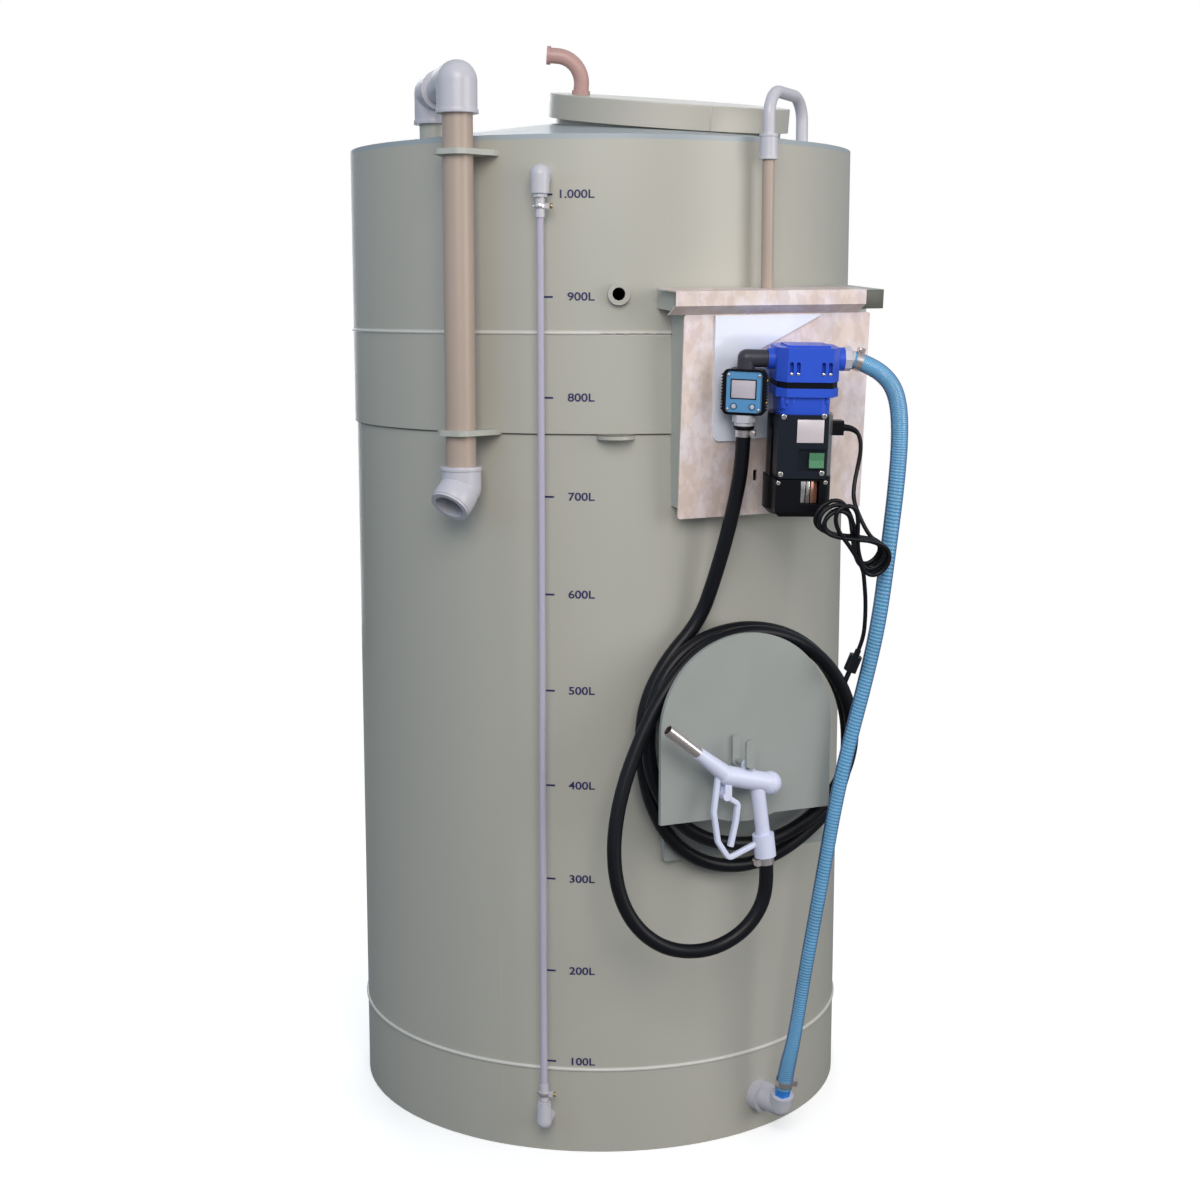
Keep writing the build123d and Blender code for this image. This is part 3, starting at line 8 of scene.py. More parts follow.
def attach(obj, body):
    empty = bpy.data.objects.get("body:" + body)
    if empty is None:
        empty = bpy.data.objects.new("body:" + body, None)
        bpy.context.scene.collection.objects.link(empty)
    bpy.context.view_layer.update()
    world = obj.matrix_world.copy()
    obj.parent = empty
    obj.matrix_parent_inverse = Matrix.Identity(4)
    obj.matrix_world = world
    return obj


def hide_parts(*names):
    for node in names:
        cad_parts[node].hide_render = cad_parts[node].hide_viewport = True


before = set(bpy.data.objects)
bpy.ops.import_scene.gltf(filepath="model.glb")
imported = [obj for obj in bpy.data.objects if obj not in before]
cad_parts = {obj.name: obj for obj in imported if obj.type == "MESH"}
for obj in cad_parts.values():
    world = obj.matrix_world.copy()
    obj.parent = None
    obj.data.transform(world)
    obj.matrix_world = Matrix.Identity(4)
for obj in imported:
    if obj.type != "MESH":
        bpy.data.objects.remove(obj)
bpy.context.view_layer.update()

bl_info = {
    "name": "Diesel exhaust fluid tank",
    "version": (1, 0, 0),
    "blender": (4, 5, 0),
    "location": "3D View > Sidebar > Tank",
    "description": "Dresses the packed tank: finishes, level scale, fittings, hoses and cord",
    "category": "Object",
}


# Places, in metres. A local frame has X to the right, Y up and Z outwards

def outward(azimuth, distance=0.0, height=0.0, lean=0.0, roll=0.0, offset=0.0):
    """The frame of a face that stands at this azimuth and distance from the tank's axis."""
    turn, tip = math.radians(azimuth), math.radians(lean)
    normal = Vector((
        math.sin(turn) * math.cos(tip), -math.cos(turn) * math.cos(tip), math.sin(tip),
    ))
    across = Vector((math.cos(turn), math.sin(turn), 0.0))
    up = normal.cross(across)
    right = across * math.cos(math.radians(roll)) + up * math.sin(math.radians(roll))
    middle = Vector((distance * math.sin(turn), -distance * math.cos(turn), height))
    return axes(middle + across * offset, right, normal)


def axes(origin, right, out):
    """A frame from its origin, its direction to the right and its direction outwards."""
    out = Vector(out).normalized()
    right = Vector(right)
    right = (right - out * right.dot(out)).normalized()
    up = out.cross(right)
    matrix = Matrix((right, up, out)).transposed().to_4x4()
    matrix.translation = Vector(origin)
    return matrix


def turned(base, right, up, out, angle):
    """A frame at a local point of another, turned about its upright."""
    return at(base, right, up, out) @ Matrix.Rotation(math.radians(angle), 4, "Y")


def at(base, right, up, out):
    """The frame at a local point of another, not turned."""
    return base @ Matrix.Translation((right, up, out))


def spot(base, right, up, out):
    """A local point of a frame, in the shared frame."""
    return base @ Vector((right, up, out))


PANEL = outward(26.0, 0.490, 1.2734, lean=-4.3, roll=0.6, offset=0.0836)
PUMP = turned(PANEL, 0.0005, 0.0, 0.075, -20.0)
METER = turned(PUMP, -0.091, 0.0, 0.0, -18.0)
HANGER = outward(24.0)
GAUGE = outward(-11.6, 0.480)
OUTLET = outward(38.5, 0.508, 0.064)
FILL = outward(-27.25, 0.500)
RISER = outward(34.4, 0.485)

# Radii of the wall and of the band over its seam, and heights of the welds and of the seam, where a
# line of painted shade lies just under the band's lower edge
SHELL_RADIUS = 0.450
HOOD_RADIUS = 0.454
HOOD_FOOT_HEIGHT = 1.244
SEAM_HEIGHT = 1.2432
LOWER_WELD_HEIGHT = 0.149
UPPER_WELD_HEIGHT = 1.408


def srgb(red, green, blue):
    """A colour as seen, 0 to 255, as the shader's linear colour."""
    def linear(value):
        value /= 255.0
        return value / 12.92 if value <= 0.04045 else ((value + 0.055) / 1.055) ** 2.4
    return linear(red), linear(green), linear(blue)


def colour_property(name, description, seen):
    """A colour that the user can change, given as it is seen."""
    return FloatVectorProperty(
        name=name, description=description, subtype="COLOR", size=3, min=0.0, max=1.0,
        default=srgb(*seen),
    )


class TankColours(bpy.types.PropertyGroup):
    """Colours of the tank and its fittings."""

    shell: colour_property("Shell", "Sheet of the tank's wall where light falls on it", (184, 181, 170))
    shell_shade: colour_property("Shell shade", "Cloudy darker tone of the sheet", (172, 172, 164))
    weld: colour_property("Weld", "Welded beads round the tank", (206, 204, 197))
    # The roof cone is the wall's own sheet; this darker, bluer tone is painted shade and painted blue
    # sky light on its upward face.
    roof: colour_property("Roof", "Roof cone, a little bluer than the wall", (168, 178, 184))
    lid: colour_property("Lid", "Cover of the manhole", (194, 190, 180))
    hanger: colour_property("Hanger", "Drum and plates of the hose hanger", (158, 163, 160))
    clip: colour_property("Clips", "Pipe clips and the box behind the panel", (184, 186, 178))
    pipe: colour_property("Pipes", "Grey-brown fill and riser pipes", (180, 162, 149))
    vent: colour_property("Vent", "Reddish brown vent bend on the lid", (192, 154, 148))
    fitting: colour_property("Fittings", "Off-white elbows and nuts", (201, 200, 209))
    steel: colour_property("Steel", "Panel plate, hood and clamps", (240, 230, 229))
    # The bracket's colour is partly its own pale tone and partly a painted reflection of the sky and a
    # painted highlight, which make it lavender blue and near white.
    bracket: colour_property("Bracket", "Painted bracket behind the pump", (236, 241, 255))
    pump: colour_property("Pump", "Blue paint of the pump head", (46, 88, 214))
    black: colour_property("Black", "Switch box, base cap and gland", (15, 16, 21))
    meter: colour_property("Meter", "Light blue face of the flow meter", (92, 152, 202))
    display: colour_property("Display", "Pale window of the meter", (204, 196, 206))
    rocker: colour_property("Rocker", "Green switch rocker", (84, 140, 104))
    rubber: colour_property("Rubber", "Delivery hose and cord", (17, 18, 24))
    suction: colour_property("Suction hose", "Translucent blue spiral hose", (70, 144, 194))
    barb: colour_property("Barb", "Blue nut at the base outlet", (22, 128, 224))
    nozzle: colour_property("Nozzle", "White body of the nozzle", (222, 227, 250))
    marks: colour_property("Marks", "Level scale on the shell", (40, 38, 92))
    floor: colour_property("Floor", "Plain pale floor", (244, 244, 244))


class TankSizes(bpy.types.PropertyGroup):
    """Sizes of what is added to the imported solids."""

    litre_step: FloatProperty(
        name="Litre step", description="Height between two marks of the level scale",
        default=0.1629, min=0.05, max=0.5, subtype="DISTANCE", unit="LENGTH",
    )
    figure_height: FloatProperty(
        name="Figure height", description="Height of the figures of the level scale",
        default=0.0185, min=0.005, max=0.05, subtype="DISTANCE", unit="LENGTH",
    )
    hose_rib: FloatProperty(
        name="Hose rib", description="Distance between two ribs of the suction hose",
        default=0.0046, min=0.002, max=0.02, subtype="DISTANCE", unit="LENGTH",
    )
    screw_head: FloatProperty(
        name="Screw head", description="Radius of a small screw head",
        default=0.0044, min=0.001, max=0.01, subtype="DISTANCE", unit="LENGTH",
    )


# Modelling helpers

def deselect():
    bpy.ops.object.select_all(action="DESELECT")


def only(obj):
    """Selects this object alone and makes it the active one."""
    deselect()
    obj.select_set(True)
    bpy.context.view_layer.objects.active = obj


def settle(obj, place=None):
    """Puts a piece at its place and moves that place into its mesh."""
    only(obj)
    if place is not None:
        obj.matrix_world = place @ obj.matrix_world
    bpy.ops.object.transform_apply(location=True, rotation=True, scale=True)


def modify(obj, kind, **settings):
    """Adds a modifier and applies it."""
    only(obj)
    modifier = obj.modifiers.new(kind.title(), kind)
    for key, value in settings.items():
        setattr(modifier, key, value)
    bpy.ops.object.modifier_apply(modifier=modifier.name)


def soften(obj, angle=35.0):
    """Shades smoothly across edges that are flatter than this angle."""
    only(obj)
    bpy.ops.object.shade_smooth_by_angle(angle=math.radians(angle))


def sharp_block(size, middle=(0, 0, 0)):
    """A block with sharp edges, as a cutter or as the start of a piece."""
    deselect()
    bpy.ops.mesh.primitive_cube_add(size=1.0, location=middle)
    obj = bpy.context.object
    obj.scale = size
    settle(obj)
    return obj


def block(size, middle=(0, 0, 0), edge=0.0015):
    """A block with rounded edges."""
    obj = sharp_block(size, middle)
    modify(obj, "BEVEL", width=edge, segments=2, limit_method="NONE")
    return obj


def disc(radius, depth, middle=(0, 0, 0), edge=0.001, sides=40, facing="OUT", inner=0.0):
    """A round piece with soft rims; facing OUT, UP or RIGHT, with a bore where inner is given."""
    deselect()
    turn = {"OUT": (0, 0, 0), "UP": (math.pi / 2, 0, 0), "RIGHT": (0, math.pi / 2, 0)}[facing]
    bpy.ops.mesh.primitive_cylinder_add(
        vertices=sides, radius=radius, depth=depth, location=middle, rotation=turn,
    )
    obj = bpy.context.object
    settle(obj)
    if inner:
        bpy.ops.mesh.primitive_cylinder_add(
            vertices=sides, radius=inner, depth=depth * 2, location=middle, rotation=turn,
        )
        bore = bpy.context.object
        settle(bore)
        carve(obj, bore)
    modify(obj, "BEVEL", width=edge, segments=2, limit_method="ANGLE", angle_limit=math.radians(50))
    return obj


def carve(obj, tool):
    """Cuts one piece out of another."""
    modify(obj, "BOOLEAN", object=tool, operation="DIFFERENCE", solver="EXACT")
    bpy.data.objects.remove(tool)


def join(objects):
    """One object from several."""
    deselect()
    for obj in objects:
        obj.select_set(True)
    bpy.context.view_layer.objects.active = objects[0]
    bpy.ops.object.join()
    return bpy.context.object


def copy_to(obj, place):
    """A copy with its own mesh at another place."""
    twin = obj.copy()
    twin.data = obj.data.copy()
    bpy.context.collection.objects.link(twin)
    settle(twin, place)
    return twin


def piece(obj, name, look, body="tank", stands_for=(), place=None, angle=35.0):
    """Names a finished piece, gives it its finish and lets it ride on its body."""
    settle(obj, place)
    soften(obj, angle)
    obj.name = name
    obj.data.name = name
    if look is not None:
        obj.data.materials.clear()
        obj.data.materials.append(look)
    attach(obj, body)
    if stands_for:
        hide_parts(*stands_for)
    return obj


def screw(radius, depth, cross=True):
    """A raised screw head with a cross or a single slot, facing out."""
    head = disc(radius, depth, (0, 0, depth / 2), edge=depth * 0.35, sides=24)
    cuts = [(radius * 1.3, radius * 0.24)]
    if cross:
        cuts.append((radius * 0.24, radius * 1.3))
    for wide, tall in cuts:
        carve(head, sharp_block((wide, tall, depth * 0.9), (0, 0, depth)))
    return head


def screws(name, look, places, radius, depth, cross=True):
    """Like screws at several local frames, as one piece."""
    first = screw(radius, depth, cross)
    copies = [copy_to(first, place) for place in places]
    bpy.data.objects.remove(first)
    return piece(join(copies), name, look)


# Shared effects: node groups with named sockets

def effect(name, inputs, outputs):
    """A new node group with these sockets; gives the group and its input and output nodes."""
    group = bpy.data.node_groups.new(name, "ShaderNodeTree")
    for label, kind, value in inputs:
        socket = group.interface.new_socket(name=label, in_out="INPUT", socket_type=kind)
        socket.default_value = value
    for label, kind in outputs:
        group.interface.new_socket(name=label, in_out="OUTPUT", socket_type=kind)
    source = group.nodes.new("NodeGroupInput")
    target = group.nodes.new("NodeGroupOutput")
    source.location = (-900, 0)
    target.location = (600, 0)
    return group, source, target


def node(tree, kind, place, **settings):
    """A new node of this kind, at its place in the editor, with these settings."""
    made = tree.nodes.new(kind)
    made.location = place
    for key, value in settings.items():
        setattr(made, key, value)
    return made


def math_node(tree, operation, place, first, second=None, third=None, clamp=False):
    """The result of a sum on numbers or sockets."""
    made = node(tree, "ShaderNodeMath", place, operation=operation, use_clamp=clamp)
    for socket, value in zip(made.inputs, (first, second, third)):
        if isinstance(value, (int, float)):
            socket.default_value = value
        elif value is not None:
            tree.links.new(value, socket)
    return made.outputs["Value"]


def stretched_noise(group, source, detail, roughness=0.5):
    """Noise on Object coordinates, by the group's own Stretch and Scale."""
    where = node(group, "ShaderNodeTexCoord", (-700, 200))
    scale = node(group, "ShaderNodeMapping", (-500, 200))
    group.links.new(where.outputs["Object"], scale.inputs["Vector"])
    group.links.new(source.outputs["Stretch"], scale.inputs["Scale"])
    noise = node(group, "ShaderNodeTexNoise", (-300, 200))
    noise.inputs["Detail"].default_value = detail
    noise.inputs["Roughness"].default_value = roughness
    group.links.new(scale.outputs["Vector"], noise.inputs["Vector"])
    group.links.new(source.outputs["Scale"], noise.inputs["Scale"])
    return noise.outputs["Fac"]


def cloudy_tone():
    """Two tones in soft clouds, and the clouds as a height."""
    group, source, target = effect(
        "Cloudy tone",
        [
            ("Tone", "NodeSocketColor", (0.8, 0.8, 0.8, 1.0)),
            ("Shade", "NodeSocketColor", (0.6, 0.6, 0.6, 1.0)),
            ("Scale", "NodeSocketFloat", 6.0),
            ("Stretch", "NodeSocketVector", (1.0, 1.0, 1.0)),
            ("Contrast", "NodeSocketFloat", 0.5),
        ],
        [("Color", "NodeSocketColor"), ("Clouds", "NodeSocketFloat")],
    )
    noise = stretched_noise(group, source, 5.0, 0.55)
    centred = math_node(group, "SUBTRACT", (-100, 200), noise, 0.5)
    spread = math_node(group, "MULTIPLY", (50, 200), centred, source.outputs["Contrast"])
    wide = math_node(group, "MULTIPLY", (200, 200), spread, 4.0)
    level = math_node(group, "ADD", (350, 200), wide, 0.5, clamp=True)
    mix = node(group, "ShaderNodeMix", (400, 0), data_type="RGBA")
    group.links.new(level, mix.inputs["Factor"])
    group.links.new(source.outputs["Tone"], mix.inputs[6])
    group.links.new(source.outputs["Shade"], mix.inputs[7])
    group.links.new(mix.outputs[2], target.inputs["Color"])
    group.links.new(level, target.inputs["Clouds"])
    return group


def fine_grain():
    """The small unevenness of a moulded or painted face, as a height."""
    group, source, target = effect(
        "Fine grain",
        [("Scale", "NodeSocketFloat", 400.0), ("Stretch", "NodeSocketVector", (1.0, 1.0, 1.0))],
        [("Height", "NodeSocketFloat")],
    )
    group.links.new(stretched_noise(group, source, 3.0), target.inputs["Height"])
    return group


def scuffs():
    """Thin scratches that run along the stretched direction, as a mask."""
    group, source, target = effect(
        "Scuffs",
        [
            ("Scale", "NodeSocketFloat", 30.0),
            ("Stretch", "NodeSocketVector", (1.0, 1.0, 0.03)),
            ("Threshold", "NodeSocketFloat", 0.66),
        ],
        [("Mask", "NodeSocketFloat")],
    )
    noise = stretched_noise(group, source, 4.0, 0.7)
    over = math_node(group, "SUBTRACT", (-100, 200), noise, source.outputs["Threshold"])
    mask = math_node(group, "MULTIPLY", (100, 200), over, 14.0, clamp=True)
    group.links.new(mask, target.inputs["Mask"])
    return group


def height_band():
    """A soft ring round the tank at one height, as a mask."""
    group, source, target = effect(
        "Height band",
        [("Height", "NodeSocketFloat", 1.0), ("Half width", "NodeSocketFloat", 0.003)],
        [("Mask", "NodeSocketFloat")],
    )
    where = node(group, "ShaderNodeTexCoord", (-700, 200))
    apart = node(group, "ShaderNodeSeparateXYZ", (-500, 200))
    group.links.new(where.outputs["Object"], apart.inputs["Vector"])
    away = math_node(group, "SUBTRACT", (-300, 200), apart.outputs["Z"], source.outputs["Height"])
    size = math_node(group, "ABSOLUTE", (-150, 200), away)
    share = math_node(group, "DIVIDE", (0, 200), size, source.outputs["Half width"])
    near = math_node(group, "SUBTRACT", (150, 200), 1.5, share)
    mask = math_node(group, "MULTIPLY", (300, 200), near, 2.0, clamp=True)
    group.links.new(mask, target.inputs["Mask"])
    return group


EFFECTS = {}


def shared(name):
    """The node group of that name, built on first use."""
    makers = {
        "Cloudy tone": cloudy_tone, "Fine grain": fine_grain,
        "Scuffs": scuffs, "Height band": height_band,
    }
    if name not in EFFECTS:
        EFFECTS[name] = makers[name]()
    return EFFECTS[name]


# Finishes

def shaded(colour, gain):
    """The colour made darker or lighter."""
    return tuple(c * gain for c in colour)


def rgba(colour):
    """A colour with full cover, no part of it over 1."""
    return tuple(min(1.0, c) for c in colour) + (1.0,)


def start_finish(name):
    """A new material; gives it, its tree and its shader."""
    look = bpy.data.materials.new(name)
    look.use_nodes = True
    tree = look.node_tree
    return look, tree, tree.nodes["Principled BSDF"]


def use(tree, name, place, **values):
    """Places a shared effect in a material with its own values."""
    made = node(tree, "ShaderNodeGroup", place)
    made.node_tree = shared(name)
    for key, value in values.items():
        made.inputs[key.replace("_", " ")].default_value = value
    return made


def finish(
    name, tone, shade=None, rough=0.4, cloud=8.0, stretch=(1.0, 1.0, 1.0), contrast=0.35,
    grain=500.0, grain_stretch=(1.0, 1.0, 1.0), bump=0.05, metallic=0.0, coat=0.0,
    rough_spread=0.08, specular=0.5,
):
    """A material in two cloudy tones with fine grain and slightly uneven gloss."""
    look, tree, shader = start_finish(name)
    shade = shade or shaded(tone, 0.86)
    clouds = use(
        tree, "Cloudy tone", (-700, 200), Tone=rgba(tone), Shade=rgba(shade), Scale=cloud,
        Stretch=stretch, Contrast=contrast,
    )
    tree.links.new(clouds.outputs["Color"], shader.inputs["Base Color"])
    uneven = math_node(tree, "MULTIPLY", (-450, 0), clouds.outputs["Clouds"], rough_spread)
    level = math_node(tree, "ADD", (-250, 0), uneven, rough - rough_spread / 2)
    tree.links.new(level, shader.inputs["Roughness"])
    fine = use(tree, "Fine grain", (-700, -200), Scale=grain, Stretch=grain_stretch)
    relief = node(tree, "ShaderNodeBump", (-300, -200))
    relief.inputs["Strength"].default_value = bump
    relief.inputs["Distance"].default_value = 0.001
    tree.links.new(fine.outputs["Height"], relief.inputs["Height"])
    tree.links.new(relief.outputs["Normal"], shader.inputs["Normal"])
    shader.inputs["Metallic"].default_value = metallic
    shader.inputs["Coat Weight"].default_value = coat
    shader.inputs["Specular IOR Level"].default_value = specular
    return look, tree, shader, clouds


def overlay(tree, base, mask, colour, place):
    """One colour over another where the mask is white."""
    mix = node(tree, "ShaderNodeMix", place, data_type="RGBA")
    tree.links.new(mask, mix.inputs["Factor"])
    tree.links.new(base, mix.inputs[6])
    mix.inputs[7].default_value = rgba(colour)
    return mix.outputs[2]


def shell_finish(colours):
    """Sheet of the tank's wall: cloudy, with light weld beads, a dark line of painted shade under the
    hood's lower edge at the seam, and fine scratches.
    """
    look, tree, shader, clouds = finish(
        "tank_sheet", colours.shell, colours.shell_shade, rough=0.36, cloud=2.2,
        stretch=(1.0, 1.0, 0.25), contrast=0.4, grain=260.0, bump=0.03,
    )
    base = clouds.outputs["Color"]
    scratch = use(tree, "Scuffs", (-900, 500), Scale=26.0, Stretch=(1.0, 1.0, 0.02), Threshold=0.67)
    faint = math_node(tree, "MULTIPLY", (-700, 500), scratch.outputs["Mask"], 0.35)
    base = overlay(tree, base, faint, shaded(colours.shell, 1.12), (-500, 500))
    for level, half, colour in (
        (LOWER_WELD_HEIGHT, 0.0032, colours.weld), (UPPER_WELD_HEIGHT, 0.0032, colours.weld),
        # Painted shadow: a band much darker than the sheet, just under the overlapping hood's lower
        # edge.
        (SEAM_HEIGHT, 0.0012, shaded(colours.shell, 0.35)),
    ):
        band = use(tree, "Height band", (-900, 800), Height=level, Half_width=half)
        base = overlay(tree, base, band.outputs["Mask"], colour, (-300, 500))
    tree.links.new(base, shader.inputs["Base Color"])
    return look


def steel_finish(name, colours, stains=False, rough=0.3):
    """Brushed steel; the panel plate also has brown water stains."""
    look, tree, shader, clouds = finish(
        name, colours.steel, shaded(colours.steel, 0.8), rough=rough, cloud=30.0,
        stretch=(1.0, 1.0, 0.12), contrast=0.5, grain=900.0, grain_stretch=(1.0, 1.0, 0.03),
        bump=0.12, metallic=0.1 if stains else 1.0, rough_spread=0.16,
    )
    if stains:
        base = clouds.outputs["Color"]
        for size, sharp, share, colour in (
            (7.0, 1.2, 0.5, srgb(226, 210, 224)), (22.0, 1.7, 0.4, srgb(216, 188, 160)),
            (55.0, 2.6, 0.24, srgb(176, 150, 136)),
        ):
            spots = use(
                tree, "Cloudy tone", (-900, 600), Scale=size, Contrast=sharp,
                Stretch=(1.0, 1.0, 0.7),
            )
            level = math_node(tree, "MULTIPLY", (-700, 600), spots.outputs["Clouds"], share)
            base = overlay(tree, base, level, colour, (-400, 500))
        tree.links.new(base, shader.inputs["Base Color"])
    return look


LOOKS = {}


def make_looks(colours, sizes):
    """Every finish, by name."""
    simple = {
        # The wall's sheet made darker and bluer for the roof: painted shade and painted sky light.
        "roof_painted_shade": dict(tone=colours.roof, rough=0.34, cloud=4.0, contrast=0.3),
        "lid_sheet": dict(tone=colours.lid, rough=0.38, cloud=5.0, contrast=0.35),
        "hanger_sheet": dict(tone=colours.hanger, rough=0.38, cloud=6.0, contrast=0.45),
        "clip_sheet": dict(tone=colours.clip, rough=0.4, cloud=12.0, contrast=0.3),
        "pipe_plastic": dict(tone=colours.pipe, rough=0.36, cloud=10.0, stretch=(1, 1, 0.2)),
        "vent_plastic": dict(tone=colours.vent, rough=0.4, cloud=20.0),
        "fitting_plastic": dict(tone=colours.fitting, rough=0.3, cloud=16.0, contrast=0.25),
        # Bracket: own pale tone with a painted sky reflection and painted highlight in its colour.
        "bracket_paint": dict(
            tone=colours.bracket, rough=0.16, cloud=8.0, coat=0.2, contrast=0.3),
        "pump_paint": dict(
            tone=colours.pump, rough=0.36, cloud=26.0, coat=0.1, bump=0.1, grain=320, specular=0.35),
        "black_plastic": dict(
            tone=colours.black, rough=0.34, cloud=20.0, bump=0.12, grain=700, specular=0.18),
        "cover_plastic": dict(
            tone=srgb(29, 34, 44), rough=0.3, cloud=14.0, bump=0.1, grain=700, specular=0.25),
        "motor_paint": dict(
            tone=shaded(colours.black, 0.8), rough=0.18, cloud=12, coat=0.25, specular=0.2),
        # Dark olive for the sheet on the rail's end: painted shade where that end lies in shadow.
        "rail_painted_shade": dict(tone=srgb(92, 94, 84), rough=0.45, cloud=20.0, contrast=0.5),
        "grey_plastic": dict(
            tone=srgb(62, 62, 70), rough=0.34, cloud=20.0, bump=0.12, grain=700, specular=0.3),
        "meter_plastic": dict(tone=colours.meter, rough=0.3, cloud=24.0, contrast=0.25),
        "display_glass": dict(tone=colours.display, rough=0.12, cloud=20.0, coat=1.0, contrast=0.2),
        "rocker_plastic": dict(tone=colours.rocker, rough=0.28, cloud=40.0),
        "black_rubber": dict(
            tone=colours.rubber, rough=0.36, cloud=30.0, bump=0.15, grain=600, specular=0.24),
        "barb_plastic": dict(tone=colours.barb, rough=0.3, cloud=30.0),
        "nozzle_plastic": dict(tone=colours.nozzle, rough=0.34, cloud=14.0, contrast=0.25),
        "mark_print": dict(tone=colours.marks, rough=0.5, cloud=60.0, contrast=0.3),
        "label_foil": dict(
            tone=srgb(226, 216, 222), rough=0.3, cloud=40.0, metallic=0.2, contrast=0.2),
        "bright_steel": dict(
            tone=srgb(222, 220, 218), rough=0.24, cloud=50.0, metallic=0.9, contrast=0.3),
        "brass": dict(tone=srgb(196, 164, 104), rough=0.25, cloud=60.0, metallic=0.9),
        "copper": dict(tone=srgb(184, 132, 112), rough=0.26, cloud=60.0, metallic=0.6, contrast=0.8),
    }
    for name, values in simple.items():
        LOOKS[name] = finish(name, **values)[0]
    LOOKS["tank_sheet"] = shell_finish(colours)
    LOOKS["steel"] = steel_finish("steel", colours)
    LOOKS["stained_steel"] = steel_finish("stained_steel", colours, stains=True, rough=0.42)
    LOOKS["clear_tube"] = clear_finish()
    LOOKS["blue_hose"] = hose_finish(colours, sizes)


def clear_finish():
    """The gauge's tube, a little see-through."""
    look, _, shader, _ = finish(
        "clear_tube", srgb(214, 208, 226), srgb(190, 186, 204), rough=0.14, cloud=6.0,
        stretch=(1, 1, 0.1),
    )
    shader.inputs["Transmission Weight"].default_value = 0.25
    shader.inputs["IOR"].default_value = 1.2
    return look


# Run that the ribs of the suction hose are counted on, and where its stripes lie round it
HOSE_LENGTH = 1.318
HOSE_STRIPES = (0.12, 0.62)


def hose_ribs(tree, along, around, rib):
    """A wave of ribs that wind along the hose, 0 between two ribs and 1 on one."""
    turns = math_node(tree, "MULTIPLY", (-700, 200), along, HOSE_LENGTH / rib)
    lean = math_node(tree, "ADD", (-600, 200), turns, around)
    angle = math_node(tree, "MULTIPLY", (-500, 200), lean, 2 * math.pi)
    wave = math_node(tree, "SINE", (-400, 200), angle)
    return math_node(tree, "MULTIPLY_ADD", (-300, 200), wave, 0.5, 0.5)


def hose_finish(colours, sizes):
    """Clear blue hose: ribs along the hose's own U direction, lighter on the ribs as a painted
    highlight and darker in the gaps between them as painted shade, and darker where it is seen edge-on.
    """
    look, tree, shader = start_finish("blue_hose")
    where = node(tree, "ShaderNodeUVMap", (-1100, 200))
    apart = node(tree, "ShaderNodeSeparateXYZ", (-900, 200))
    tree.links.new(where.outputs["UV"], apart.inputs["Vector"])
    ribs = hose_ribs(tree, apart.outputs["X"], apart.outputs["Y"], sizes.hose_rib)
    clouds = use(
        tree, "Cloudy tone", (-700, 500), Tone=rgba(shaded(colours.suction, 1.25)),
        Shade=rgba(shaded(colours.suction, 0.85)), Scale=14.0, Contrast=0.6,
    )
    # Painted highlight: the ribs are made lighter.
    light = math_node(tree, "MULTIPLY", (-200, 400), ribs, 0.5)
    base = overlay(tree, clouds.outputs["Color"], light, srgb(166, 206, 224), (-100, 500))
    # Painted shade: the gaps between the ribs are made darker.
    low = math_node(tree, "SUBTRACT", (-200, 700), 1.0, ribs)
    narrow = math_node(tree, "POWER", (-100, 700), low, 5.0)
    rib_gap_shade = math_node(tree, "MULTIPLY", (0, 700), narrow, 0.4)
    base = overlay(tree, base, rib_gap_shade, srgb(36, 104, 154), (50, 600))
    for place in HOSE_STRIPES:
        aside = math_node(tree, "SUBTRACT", (-700, 900), apart.outputs["Y"], place)
        near = math_node(tree, "ABSOLUTE", (-600, 900), aside)
        stripe = math_node(tree, "LESS_THAN", (-500, 900), near, 0.014)
        soft = math_node(tree, "MULTIPLY", (-400, 900), stripe, 0.75)
        base = overlay(tree, base, soft, srgb(26, 54, 104), (100, 700))
    edge = node(tree, "ShaderNodeLayerWeight", (-500, 0))
    edge.inputs["Blend"].default_value = 0.4
    facing = math_node(tree, "SUBTRACT", (-400, 0), edge.outputs["Facing"], 0.3)
    outline = math_node(tree, "MULTIPLY", (-300, 0), facing, 2.0, clamp=True)
    base = overlay(tree, base, outline, srgb(30, 74, 148), (100, 500))
    tree.links.new(base, shader.inputs["Base Color"])
    relief = node(tree, "ShaderNodeBump", (-100, -200))
    relief.inputs["Strength"].default_value = 0.5
    relief.inputs["Distance"].default_value = 0.0006
    tree.links.new(ribs, relief.inputs["Height"])
    tree.links.new(relief.outputs["Normal"], shader.inputs["Normal"])
    shader.inputs["Roughness"].default_value = 0.28
    shader.inputs["Coat Weight"].default_value = 0.3
    shader.inputs["Subsurface Weight"].default_value = 0.15
    return look


